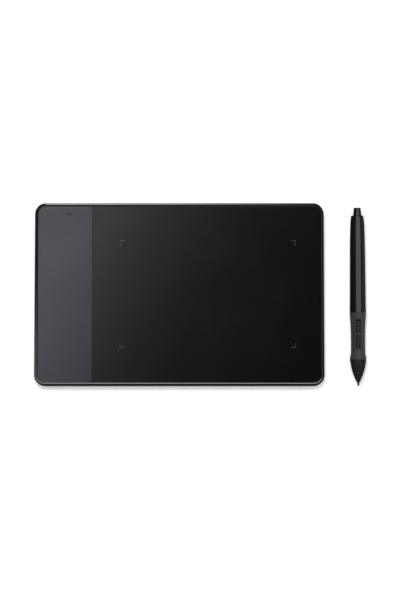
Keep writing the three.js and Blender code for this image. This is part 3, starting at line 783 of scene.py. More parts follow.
class Finishes:
    """Every finish on the object."""

    gloss_black = Gloss("gloss_black_plastic", tone(0.0045), 0.09)
    barrel_black = Gloss("gloss_black_barrel", tone(0.0055), 0.1, wave=9.0, wave_depth=0.004)
    drawing_film = Grained("satin_drawing_film", tone(0.0022), 0.25, 0.35, grain=0.3, depth=0.0035,
                           mottle=0.3, patch=30.0)
    strip_film = Grained("satin_strip_film", (0.038, 0.036, 0.0505, 1.0), 0.25, 0.35, grain=0.3,
                         depth=0.0035, mottle=0.05, patch=30.0)
    print_ink = Grained("printed_grey_ink", tone(0.06), 0.36, 0.35, grain=0.15, depth=0.002, mottle=0.3)
    cover_plastic = Grained("matte_black_cover", tone(0.008), 0.55, grain=0.45, depth=0.03, mottle=0.2)
    foot_rubber = Grained("foot_rubber", tone(0.018), 0.8, 0.3, grain=0.3, depth=0.02, mottle=0.35)
    smoked_lens = Clear("smoked_lens", (0.007, 0.006, 0.009, 1.0), 0.2, 0.1)
    label_film = Grained("blank_label_film", (0.06, 0.06, 0.066, 1.0), 0.4, grain=0.5, depth=0.004,
                         mottle=0.06, coat=0.2)
    shell_steel = Metal("plated_steel", (0.58, 0.58, 0.6, 1.0), 0.25, stretch=(12, 1, 1))
    shield_steel = Metal("rolled_steel", (0.5, 0.5, 0.51, 1.0), 0.3, stretch=(16, 1, 1))
    spring_steel = Metal("spring_steel", (0.45, 0.45, 0.47, 1.0), 0.22)
    contact_gold = Metal("contact_gold", (0.83, 0.6, 0.22, 1.0), 0.22, stretch=(8, 1, 1))
    solder = Metal("solder", (0.62, 0.62, 0.62, 1.0), 0.3, stretch=(1, 1, 1), line=0.3)
    coil_copper = Winding("wound_copper", (0.75, 0.3, 0.12, 1.0), 0.28)
    lead_copper = Metal("copper_lead", (0.75, 0.32, 0.14, 1.0), 0.3)
    board_laminate = Laminate("green_board", (0.006, 0.05, 0.018, 1.0), 0.4)
    pen_laminate = Laminate("green_pen_board", (0.006, 0.05, 0.018, 1.0), 0.4, pitch=1.3, track=0.22)
    chip_resin = Grained("chip_resin", tone(0.009), 0.5, grain=0.12, depth=0.008, mottle=0.3)
    insulator_film = Grained("amber_film", (0.3, 0.12, 0.015, 1.0), 0.25, grain=1.2, depth=0.01,
                             mottle=0.1, coat=0.5)
    light_body = Grained("light_body", (0.7, 0.66, 0.55, 1.0), 0.35, grain=0.2, depth=0.004,
                         mottle=0.05)
    ceramic = Grained("trimmer_body", (0.62, 0.57, 0.44, 1.0), 0.5, grain=0.15, depth=0.01, mottle=0.08)
    ferrite = Grained("ferrite", (0.02, 0.02, 0.022, 1.0), 0.5, grain=0.25, depth=0.02, mottle=0.4)
    grip_rubber = Grained("soft_grip_rubber", tone(0.034), 0.55, 0.35, grain=0.16, depth=0.012,
                          mottle=0.12, sheen=0.15)
    cone_plastic = Grained("grained_cone_plastic", tone(0.0105), 0.5, 0.3, grain=0.5, depth=0.06,
                           mottle=0.85, stretch=(1, 1.8, 1))
    key_plastic = Grained("satin_key_plastic", tone(0.007), 0.4, 0.2, grain=0.3, depth=0.012,
                          mottle=0.2)
    nib_plastic = Grained("nib_plastic", tone(0.008), 0.45, grain=0.12, depth=0.01, mottle=0.25)
    natural_plastic = Grained("natural_nylon", (0.6, 0.57, 0.5, 1.0), 0.4, grain=0.4, depth=0.01,
                              mottle=0.06)
    tube_plastic = Grained("dark_tube_plastic", tone(0.016), 0.45, grain=0.3, depth=0.012, mottle=0.2)
    ring_rubber = Grained("ring_rubber", tone(0.012), 0.6, 0.4, grain=0.1, depth=0.008, mottle=0.25)


# ---------------------------------------------------------------- the tablet


CORNERS = ("front_left", "front_right", "rear_left", "rear_right")


@dataclass
class TabletCasing:
    """The tablet's two shells, which meet at a fine groove, and what is fitted to the underside."""

    corner: float = 6.6
    upper_fillet: float = 1.8
    lower_fillet: float = 1.1
    wall: float = 1.7
    groove_edge: float = 0.12  # the rounded edge of each shell at the parting groove
    bed_inset: float = 2.0
    bed_edge: float = 0.12
    deck: float = 1.2
    seat: float = 0.05
    lip_gap: float = 0.15
    lip_wall: float = 1.0
    lip_cut: float = 0.7  # how much lower the finished lip is than the plain one
    foot_gap: float = 0.15
    label_gap: float = 0.15
    left_reach: float = 0.3  # how far the finished left wall stands past the plain one
    lens_ledge: float = 0.5  # the width of the step that the lens's flange lies on
    boss_bore: float = 1.05
    boss_radius: float = 2.55
    boss_reach: float = 1.6  # how far each post comes down over its screw's thread
    mouth_gap: float = 0.3  # round the cable socket
    mouth_corner: float = 0.9
    foot_grooves: tuple[float, float] = (1.7, 3.0)
    groove_half: tuple[float, float] = (0.25, 0.08)  # half a groove's width, at its mouth and floor
    groove_depth: float = 0.14
    foot_edge: float = 0.35
    label_corner: float = 2.0
    clear: float = 1.0  # how far a cutting tool passes the face that it cuts
    body: str = "tablet"

    def __post_init__(self) -> None:
        """Reads the shells' places from the frame."""
        self.low, self.high = box_of("top_case")
        self.cover_low, self.cover_high = box_of("bottom_cover")
        self.low[0] -= self.left_reach
        self.length, self.width = (self.high - self.low)[:2]
        self.middle = float((self.low + self.high)[0] / 2)
        self.plate = Plate.even(self.length, self.width, self.corner, 24)

    def upper_shell(self) -> Piece:
        """The upper shell: outer wall, filleted rim, bed for the films, deck and inner wall.

        Its profile starts on the deck's upper middle line, goes out over the rim, down the wall and
        back inside under the deck.

        Returns:
            The piece.
        """
        top, low = self.high[2], self.low[2]
        deck_top = box_of("drawing_sheet")[0][2] - self.seat
        middle = self.width / 2
        r, g, b = self.upper_fillet, self.groove_edge, self.bed_edge
        profile = run(
            (middle, deck_top), (self.bed_inset + 0.1, deck_top), (self.bed_inset, deck_top),
            arc(b, 0, 90, 4) + (self.bed_inset - b, top - b),
            arc(r, 90, 180, 18) + (r, top - r),
            (0, top - r - 0.06), (0, low + g + 0.05),
            arc(g, 180, 270, 3) + (g, low + g),
            (self.wall, low), (self.wall, deck_top - self.deck),
            (middle, deck_top - self.deck),
        )
        lens_low, lens_high = box_of("status_lens")
        lens_x, lens_y = (lens_low + lens_high)[:2] / 2
        size = lens_high - lens_low
        bed = Plate.even(size[0] + 0.2, size[1] + 0.2, size[1] / 2)
        length, width = size[:2] - 2 * self.lens_ledge
        window = Plate.even(length, width, width / 2)
        below = deck_top - self.deck - self.clear
        tools = [
            bed.slab(deck_top - 0.45, deck_top + self.clear, 0.02).moved(lens_x, lens_y),
            window.slab(below, deck_top, 0.02).moved(lens_x, lens_y),
            self.cable_mouth(),
        ]
        return Piece("tablet_upper_shell", self.plate.carry(profile).moved(self.middle), self.body,
                     "gloss_case", Finishes.gloss_black, ("top_case",), cuts=tools,
                     added=self.bosses(deck_top))

    def bosses(self, deck_top: float) -> list[Skin]:
        """The four hollow posts under the deck that the screws enter."""
        bosses = []
        for corner in CORNERS:
            low, high = box_of(f"case_screw_{corner}")
            x, y = (low + high)[:2] / 2
            bore, outer, start = self.boss_bore, self.boss_radius, high[2] - self.boss_reach
            profile = run((0, high[2] + 0.1), (bore, high[2] + 0.1), (bore, start), (outer, start),
                          (outer, deck_top - 0.6), (0, deck_top - 0.6))
            bosses.append(turned(profile, 48).moved(x, y))
        return bosses

    def cable_mouth(self) -> Skin:
        """The rounded opening in the left wall for the cable's plug, as a tool that cuts it."""
        low, high = box_of("usb_shell")
        width, height = (high - low)[1:] + 2 * self.mouth_gap
        tool = Plate.even(width, height, self.mouth_corner)
        tool = tool.slab(self.low[0] - 2 * self.clear, high[0] + 0.1, 0.02)
        return tool.facing(Facing.ALONG_X).moved(0, (low[1] + high[1]) / 2, (low[2] + high[2]) / 2)

    def lower_shell(self) -> Piece:
        """The lower shell: a plate with a rounded lower edge and a lip that enters the upper shell.

        Returns:
            The piece.
        """
        low, lip = self.cover_low[2], self.cover_high[2] - self.lip_cut
        parting = self.low[2] - self.seat
        middle = self.width / 2
        r, g = self.lower_fillet, self.groove_edge
        outer_lip, inner_lip = self.wall + self.lip_gap, self.wall + self.lip_gap + self.lip_wall
        profile = run(
            (middle, low), (r + 0.1, low),
            arc(r, 270, 180, 12) + (r, low + r),
            arc(g, 180, 90, 3) + (g, parting - g),
            (outer_lip, parting), (outer_lip, lip), (inner_lip, lip), (inner_lip, parting),
            (middle, parting),
        )
        tools = [self.cable_mouth(), self.label_bed()]
        for corner in CORNERS:
            foot_low, foot_high = box_of(f"foot_{corner}")
            x, y = (foot_low + foot_high)[:2] / 2
            radius = (foot_high - foot_low)[0] / 2 + self.foot_gap
            floor = foot_high[2] + self.seat
            rim = run((0, low - self.clear), (radius, low - self.clear), (radius, floor), (0, floor))
            tools.append(turned(rim, 96).moved(x, y))
        return Piece("tablet_lower_shell", self.plate.carry(profile).moved(self.middle), self.body,
                     "cover_plastic", Finishes.cover_plastic, ("bottom_cover",), cuts=tools)

    def label_bed(self) -> Skin:
        """The shallow recess that the label lies in, as a tool that cuts it."""
        low, high = box_of("blank_label")
        length, width = (high - low)[:2] + 2 * self.label_gap
        tool = Plate.even(length, width, self.label_corner)
        tool = tool.slab(self.cover_low[2] - self.clear, high[2] + self.seat, 0.02)
        return tool.moved(*((low + high)[:2] / 2))

    def label(self) -> Piece:
        """The blank label: thin film with round corners."""
        low, high = box_of("blank_label")
        length, width = (high - low)[:2]
        skin = Plate.even(length, width, self.label_corner).slab(low[2], high[2], 0.04)
        return Piece("tablet_blank_label", skin.moved(*((low + high)[:2] / 2)), self.body, "label_film",
                     Finishes.label_film, ("blank_label",))

    def foot(self, name: str) -> Piece:
        """A round rubber foot: a chamfered disc with two moulded grooves in the face it stands on.

        Args:
            name: the CAD node that it stands for.

        Returns:
            The piece.
        """
        low, high = box_of(name)
        radius, bottom, top = (high - low)[0] / 2, low[2], high[2]
        mouth, base = self.groove_half
        depth = self.groove_depth
        groove = np.array([(-mouth, 0), (-base, depth), (base, depth), (mouth, 0)])
        grooves = [groove + (middle, bottom) for middle in self.foot_grooves]
        edge = self.foot_edge
        profile = run((0, bottom), *grooves, (radius - edge, bottom),
                      arc(edge, 270, 360, 6) + (radius - edge, bottom + edge),
                      (radius, top - 0.05), (radius - 0.05, top), (0, top))
        x, y = (low + high)[:2] / 2
        return Piece(f"tablet_{name}", turned(profile, 96).moved(x, y), self.body, "foot_rubber",
                     Finishes.foot_rubber, (name,))

    def build(self) -> None:
        """Builds the casing's pieces in order."""
        self.upper_shell().build()
        self.lower_shell().build()
        self.label().build()
        for corner in CORNERS:
            self.foot(f"foot_{corner}").build()


@dataclass
class TabletFace:
    """The two films on the tablet's face, the printed corner marks and the status light's lens."""

    corner: float = 4.6
    joint: float = 0.04  # the gap between the two films
    edge: float = 0.09
    joint_corner: float = 0.12
    area: tuple[float, float] = (106.0, 64.8)  # between the marks, across and away from the user
    area_shift: float = 17.1  # the area's middle, to the right of the tablet's
    arm: float = 3.0  # each mark's arms
    stroke: float = 0.45
    ink: float = 0.012
    lens_gap: float = 0.06
    flange: float = 0.6  # the lens's flange, all round its window
    flange_depths: tuple[float, float] = (0.45, 0.05)  # its two faces, below the films
    dome_rise: float = 0.12
    body: str = "tablet"

    def __post_init__(self) -> None:
        """Reads the films' places from the frame."""
        self.strip_low, self.strip_high = box_of("side_strip")
        self.strip_low[0] -= TabletCasing.left_reach
        self.sheet_low, self.sheet_high = box_of("drawing_sheet")
        self.seam = (self.strip_high[0] + self.sheet_low[0]) / 2
        case_low, case_high = box_of("top_case")
        self.middle = (case_low + case_high)[0] / 2

    def film(self, left: float, right: float, radii: tuple[float, float, float, float]) -> Skin:
        """One film between two places along X.

        Args:
            left: its left edge.
            right: its right edge.
            radii: its four corners.

        Returns:
            The surface.
        """
        low, high = self.sheet_low, self.sheet_high
        plate = Plate(right - left, high[1] - low[1], radii, 20)
        return plate.slab(low[2], high[2], self.edge).moved((left + right) / 2, (low[1] + high[1]) / 2)

    def lens_outline(self, grow: float) -> Plate:
        """The lens's slot shape with round ends, grown all round."""
        low, high = box_of("status_lens")
        length, width = (high - low)[:2] - 2 * self.flange + 2 * grow
        return Plate.even(length, width, width / 2 - 0.005, 24)

    def lens(self) -> Piece:
        """The lens: a flange under the film, and a window with a slightly domed face."""
        low, high = box_of("status_lens")
        window = self.lens_outline(0.0)
        half = window.width / 2
        flange_low, flange_high = (self.sheet_low[2] - depth for depth in self.flange_depths)
        shoulder = high[2] - self.dome_rise
        dome = (arc(1, 0, 90, 8) * (-half, self.dome_rise) + (half, shoulder))[1:]
        profile = run(
            (half, low[2]), (0, low[2]), (0, flange_low), (-self.flange, flange_low),
            (-self.flange, flange_high), (0, flange_high), (0, shoulder), dome)
        x, y = (low + high)[:2] / 2
        return Piece("tablet_light_lens", window.carry(profile).moved(x, y), self.body, "smoked_lens",
                     Finishes.smoked_lens, ("status_lens",))

    def corner_marks(self) -> Piece:
        """Four L-shaped printed marks at the active area's corners, each a thin raised film of ink."""
        half = self.stroke / 2
        ell = np.array([(-half, -half), (self.arm - half, -half), (self.arm - half, half), (half, half),
                        (half, self.arm - half), (-half, self.arm - half)])
        low = self.sheet_high[2] - 0.02
        heights = np.array([low, self.sheet_high[2] + self.ink])
        marks = []
        for sx, sy in ((-1, -1), (1, -1), (1, 1), (-1, 1)):
            section = ell * (-sx, -sy) + (self.middle + self.area_shift + sx * self.area[0] / 2,
                                          sy * self.area[1] / 2)
            marks.append(drawn(section, heights))
        return Piece("tablet_corner_marks", marks[0].with_skins(*marks[1:]), self.body, "drawing_film",
                     Finishes.print_ink)

    def build(self) -> None:
        """Builds the face's pieces in order."""
        small, large = self.joint_corner, self.corner
        low, high = box_of("status_lens")
        x, y = (low + high)[:2] / 2
        hole = self.lens_outline(self.lens_gap)
        hole = hole.slab(self.sheet_low[2] - 1, self.sheet_high[2] + 1, 0.02)
        strip = self.film(self.strip_low[0], self.seam - self.joint / 2, (small, large, large, small))
        Piece("tablet_side_film", strip, self.body, "strip_film", Finishes.strip_film, ("side_strip",),
              cuts=[hole.moved(x, y)]).build()
        sheet = self.film(self.seam + self.joint / 2, self.sheet_high[0], (large, small, small, large))
        Piece("tablet_drawing_film", sheet, self.body, "drawing_film", Finishes.drawing_film,
              ("drawing_sheet",)).build()
        self.corner_marks().build()
        self.lens().build()


@dataclass
class CableSocket:
    """The cable's socket: a drawn steel shell with a rolled mouth, a tongue and its contacts."""

    wall: float = 0.3
    corner: float = 0.7
    contacts: int = 5
    contact_width: float = 0.42
    pitch: float = 0.85
    back_edge: float = 0.15
    contact_thickness: float = 0.1
    body: str = "tablet"

    def shell(self) -> Piece:
        """The shell: in from its closed back, along the outside, round the mouth and back inside."""
        low, high = box_of("usb_shell")
        length, height = (high - low)[1:]
        mouth, back, w = low[0], high[0], self.wall
        plate = Plate.even(length, height, self.corner, 10)
        edge = self.back_edge
        profile = run((height / 2, back), (edge, back), (0, back - edge), (0, mouth + w / 2),
                      arc(w / 2, 180, 360, 8) + (w / 2, mouth + w / 2),
                      (w, back - w), (height / 2, back - w))
        skin = plate.carry(profile).facing(Facing.ALONG_X)
        y, z = (low + high)[1:] / 2
        return Piece("tablet_socket_shell", skin.moved(0, y, z), self.body, "steel",
                     Finishes.shell_steel, ("usb_shell",))

    def tongue(self) -> Piece:
        """The tongue that carries the contacts."""
        low, high = box_of("usb_tongue")
        width, thickness = (high - low)[1:]
        skin = Plate.even(width, thickness, 0.15, 6).slab(low[0], high[0], 0.08)
        skin = skin.facing(Facing.ALONG_X)
        y, z = (low + high)[1:] / 2
        return Piece("tablet_socket_tongue", skin.moved(0, y, z), self.body, "chip_resin",
                     Finishes.chip_resin, ("usb_tongue",))

    def contact_row(self) -> Piece:
        """The gold contacts along the tongue's lower face."""
        low, high = box_of("usb_tongue")
        y = (low + high)[1] / 2
        blade = Plate.even(self.contact_width, self.contact_thickness, 0.03, 3)
        blade = blade.slab(low[0] + 0.3, high[0] - 0.2, 0.02)
        places = (np.arange(self.contacts) - (self.contacts - 1) / 2) * self.pitch
        blades = [blade.facing(Facing.ALONG_X).moved(0, y + place, low[2] - 0.04) for place in places]
        return Piece("tablet_socket_contacts", blades[0].with_skins(*blades[1:]), self.body, "steel",
                     Finishes.contact_gold)

    def build(self) -> None:
        """Builds the socket's pieces in order."""
        self.shell().build()
        self.tongue().build()
        self.contact_row().build()


# ---------------------------------------------------------------- the pen


@dataclass
class PenAxis:
    """The pen's axis in the frame. Stations along it are distances from the nib's tip."""

    def __post_init__(self) -> None:
        """Reads the axis and the tip from the barrel and the nib."""
        low, high = box_of("rear_barrel")
        self.x, self.z = (low + high)[[0, 2]] / 2
        self.tip = box_of("nib")[0][1]

    def span(self, node: str) -> tuple[float, float]:
        """A node's first and last station."""
        low, high = box_of(node)
        return low[1] - self.tip, high[1] - self.tip

    @staticmethod
    def radius(node: str) -> float:
        """The largest radius of a node that is turned about the axis."""
        low, high = box_of(node)
        return (high - low)[0] / 2

    def place(self, skin: Skin) -> Skin:
        """A skin about the height axis, laid along the pen."""
        return skin.facing(Facing.ALONG_Y).moved(self.x, self.tip, self.z)

    def stand(self, skin: Skin) -> Skin:
        """A skin with y as its station and its height above the axis, put on the pen."""
        return skin.moved(self.x, self.tip, self.z)


@dataclass
class PenCasing:
    """The outside of the pen: cone, grip, barrel and tail plug."""

    axis: PenAxis
    bore: float = 3.55  # of the grip and the barrel
    bulge: float = 0.62  # how far the cone swells half way along
    pebble: float = 2.6  # from one row of the cone's pebbles to the next but one
    relief_share: float = 0.035
    cone_sides: int = 240
    nib_bore: float = 0.81
    coil_bore: float = 2.45
    front_rise: float = 0.66  # the grip's front band above its waist
    rear_rise: float = 0.68
    band: float = 0.7
    front_flare: float = 4.0
    rear_flare: float = 18.0
    rear_power: float = 2.5
    taper: float = 0.4
    tuck: float = 0.6
    tuck_power: float = 10.0
    shoulder: float = 0.7
    nose: float = 0.25
    edge: float = 0.1
    fit: float = 0.1  # the play between parts that push together
    cone_tip: float = 1.0
    core_room: float = 0.3  # in front of the ferrite core
    tail_wall: float = 6.0
    plug_taper: float = 0.2
    plug_edge: float = 0.45
    dish: tuple[float, float] = (1.1, 0.1)  # its rim's distance from the plug's side, and its depth
    nib_chamfer: float = 0.12
    peg: float = 2.0
    window_width: float = 3.3
    window_corner: float = 0.62
    key_gap: float = 0.15  # between a key's cap and its window
    tab: float = 0.42  # how far each key's tabs reach under the grip
    tab_width: float = 1.4
    tab_heights: tuple[float, float] = (0.05, 0.45)  # above the key's underside
    key_corner: float = 0.5
    key_edge: float = 0.2
    key_crown: float = 4.6  # the radius across a key's face
    skirt_rise: float = 0.95  # the rear key's skirt, where it meets the cap
    relief: float = 0.75  # the open gap behind the rear key
    tail_reach: float = 0.2  # how far the plug's rounded end stands past its plain one

    def cone(self) -> Piece:
        """The front cone.

        Its radius runs straight from the tip's to the base's, with the bulge times the sine of half
        a turn over its length added.

        Returns:
            The piece.
        """
        start, end = self.axis.span("front_cone")
        base = self.axis.radius("front_cone")
        tube_front = self.axis.span("inner_tube")[0]
        cavity = self.axis.span("ferrite_core")[0] - self.core_room
        tip = self.cone_tip
        share = np.linspace(0.004, 0.99, 170)
        outside = np.stack([
            tip + (base - tip) * share + self.bulge * np.sin(np.pi * share),
            start + (end - start) * share], -1)
        profile = run(
            (self.nib_bore, start + 0.08), (self.nib_bore + 0.06, start), outside,
            (base - self.edge / 2, end), (self.bore, end), (self.bore, tube_front - self.fit),
            (self.coil_bore, tube_front - self.fit), (self.coil_bore, cavity),
            (self.nib_bore, cavity))
        skin = self.pebbled(turned(profile, self.cone_sides, closed=True), 2, len(outside))
        return Piece("pen_cone", self.axis.place(skin), "pen", "cone_plastic",
                     Finishes.cone_plastic, ("front_cone",))

    def pebbled(self, skin: Skin, first: int, count: int) -> Skin:
        """The cone with low pebbles on its outside, which fade out towards its ends.

        The radius loses a share of itself: the relief's share times the square of
        sin(a + w) sin(b - w), where a and b are two crossing screws round the cone, and w is a slow
        wave that keeps the rows from lining up. The share fades with the root of the sine of half a
        turn over the length.

        Args:
            skin: the cone about the height axis.
            first: the first row of points on its outside.
            count: how many rows its outside has.

        Returns:
            The surface.
        """
        grid = skin.points.reshape(-1, self.cone_sides, 3).copy()
        x, y, station = np.moveaxis(grid[first:first + count], -1, 0)
        turn = np.arctan2(y, x)
        rows = 2 * np.pi * station / self.pebble
        slow = 0.9 * np.sin(5 * turn + 0.31 * rows) + 0.7 * np.sin(3 * turn - 0.47 * rows)
        crossing = np.sin(7 * turn + rows / 2 + slow) * np.sin(8 * turn - rows / 2 - slow)
        fade = np.sqrt(np.sin(np.linspace(0, np.pi, count)))[:, None]
        scale = 1 - self.relief_share * crossing * crossing * fade
        grid[first:first + count, :, :2] *= scale[..., None]
        return Skin(grid.reshape(-1, 3), skin.faces)

    def grip_radius(self, distance: np.ndarray, length: float) -> np.ndarray:
        """The grip's outer radius at distances from its front edge.

        From the waist it rises towards the front as a smooth step that ends at the front band, and
        towards the rear as a power of the share of the rear flare that is passed.

        Args:
            distance: distances from the front edge.
            length: the grip's length.

        Returns:
            The radii.
        """
        waist = self.axis.radius("grip_sleeve") - self.rear_rise
        step = np.clip((distance - self.band) / self.front_flare, 0, 1)
        front = 1 - step * step * (3 - 2 * step)
        rear = np.clip((distance - (length - self.band)) / self.rear_flare + 1, 0, 1)
        return waist + self.front_rise * front + self.rear_rise * rear ** self.rear_power

    def grip(self) -> Piece:
        """The soft grip, with rounded ends and the two windows for the keys."""
        start, end = self.axis.span("grip_sleeve")
        length = end - start
        distance = np.linspace(self.edge, length - self.edge, 150)
        outside = np.stack([self.grip_radius(distance, length), start + distance], -1)
        first, last = outside[0], outside[-1]
        profile = run(
            arc(self.edge, 270, 360, 3)[:-1] + (first[0] - self.edge, first[1]),
            outside,
            (arc(self.edge, 0, 90, 3) + (last[0] - self.edge, last[1]))[1:],
            (self.bore, end), (self.bore, start))
        return Piece("pen_grip", self.axis.place(turned(profile, 192, closed=True)), "pen",
                     "grip_rubber", Finishes.grip_rubber, ("grip_sleeve",), cuts=self.windows())

    def windows(self) -> list[Skin]:
        """The two windows over the keys, as tools that cut upwards out of the pen."""
        tools = []
        for node, relief in (("front_button", 0.0), ("rear_button", self.relief)):
            start, end = self.key_span(node)
            start, end = start - self.key_gap, end + self.key_gap + relief
            plate = Plate.even(self.window_width, end - start, self.window_corner, 8)
            tools.append(self.axis.stand(plate.slab(0.5, 8.0, 0.02).moved(0, (start + end) / 2)))
        return tools

    def key_span(self, node: str) -> tuple[float, float]:
        """The first and last station of a key's cap, which its tabs overhang at both ends."""
        start, end = self.axis.span(node)
        relief = self.relief if node == "rear_button" else 0.0
        overhang = self.tab + self.key_gap
        return start + overhang, end - overhang - relief

    def barrel(self) -> Piece:
        """The glossy barrel.

        Its radius falls by the taper times the share of its length, and by the tuck times a high
        power of that share, and it ends in a quarter round.

        Returns:
            The piece.
        """
        start, end = self.axis.span("rear_barrel")
        largest = self.axis.radius("rear_barrel")
        bore_end = end - self.tail_wall
        share = np.linspace(0, 1, 120)
        length = end - start - self.nose - self.shoulder
        outside = np.stack([
            largest - self.taper * share - self.tuck * share ** self.tuck_power,
            start + self.nose + length * share], -1)
        rear = outside[-1]
        profile = run(
            (arc(self.nose, 270, 360, 5) + (outside[0][0] - self.nose, outside[0][1]))[:-1],
            outside,
            (arc(self.shoulder, 0, 90, 10) + (rear[0] - self.shoulder, rear[1]))[1:],
            (self.peg + self.fit, end), (self.peg + self.fit, bore_end), (self.bore, bore_end),
            (self.bore, start))
        return Piece("pen_barrel", self.axis.place(turned(profile, 192, closed=True)), "barrel",
                     "gloss_barrel", Finishes.barrel_black, ("rear_barrel",))

    def tail_plug(self) -> Piece:
        """The tail plug: a tapered stub with a rounded and slightly dished end, on its peg."""
        start, end = self.axis.span("tail_plug")
        base, peg_end = self.axis.radius("tail_plug"), self.axis.span("rear_barrel")[1] + 0.05
        tip, edge, end = base - self.plug_taper, self.plug_edge, end + self.tail_reach
        rim, depth = tip - self.dish[0], self.dish[1]
        profile = run(
            (0, start), (self.peg - 0.2, start), (self.peg, start + 0.2), (self.peg, peg_end),
            (base - 0.08, peg_end), (base, peg_end + 0.08),
            arc(edge, 4, 90, 8) + (tip - edge, end - edge),
            (rim, end), (rim - 0.15, end - depth), (0, end - depth))
        return Piece("pen_tail_plug", self.axis.place(turned(profile, 128)), "barrel",
                     "gloss_barrel", Finishes.barrel_black, ("tail_plug",))

    def nib(self) -> Piece:
        """The nib: a rod with a round tip, chamfered at its rear end."""
        start, end = self.axis.span("nib")
        radius = self.axis.radius("nib")
        profile = run(arc(radius, 270, 360, 12) + (0, start + radius),
                      (radius, end - self.nib_chamfer), (radius - self.nib_chamfer, end), (0, end))
        return Piece("pen_nib", self.axis.place(turned(profile, 64)), "nib", "nib_plastic",
                     Finishes.nib_plastic, ("nib",))

    def key(self, node: str) -> Piece:
        """A side key: a cap whose face is crowned across the pen, on its tabs.

        The cap's face drops by x squared over twice the crown's radius, and the drop fades to
        nothing at the cap's lower face.

        Args:
            node: the CAD node that it stands for.

        Returns:
            The piece.
        """
        low, high = box_of(node)
        start, end = self.key_span(node)
        bottom, top, width = low[2] - self.axis.z, high[2] - self.axis.z, (high - low)[0]
        cap = Plate.even(width, end - start, self.key_corner, 8)
        cap = cap.slab(bottom, top, self.key_edge, crown_rows=10)
        x, height = cap.points[:, 0], cap.points[:, 2]
        share = np.clip((height - bottom) / (top - bottom), 0, 1)
        cap.points[:, 2] = height - share * x * x / (2 * self.key_crown)
        first, last = self.axis.span(node)
        low_face, high_face = (bottom + height for height in self.tab_heights)
        tab = Plate.even(self.tab_width, last - first, 0.1, 3).slab(low_face, high_face, 0.05)
        added = [self.axis.stand(tab.moved(0, (first + last) / 2))]
        if node == "rear_button":
            # the skirt closes the gap behind the cap: it falls from the cap to the window's end
            rear, foot, crest = end + self.relief + 0.1, bottom + 0.1, bottom + self.skirt_rise
            skirt = np.array([(end - 0.3, foot), (rear, foot), (rear, foot + 0.06),
                              (end - 0.1, crest), (end - 0.3, crest)])
            half = width / 2 - 0.05
            added.append(self.axis.stand(drawn(skirt, np.array([-half, half])).facing(Facing.ALONG_X)))
        return Piece(f"pen_{node}", self.axis.stand(cap.moved(0, (start + end) / 2)), node,
                     "button_plastic", Finishes.key_plastic, (node,), added=added)

    def build(self) -> None:
        """Builds the casing's pieces in order."""
        self.cone().build()
        self.grip().build()
        self.barrel().build()
        self.tail_plug().build()
        self.nib().build()
        for node in ("front_button", "rear_button"):
            self.key(node).build()


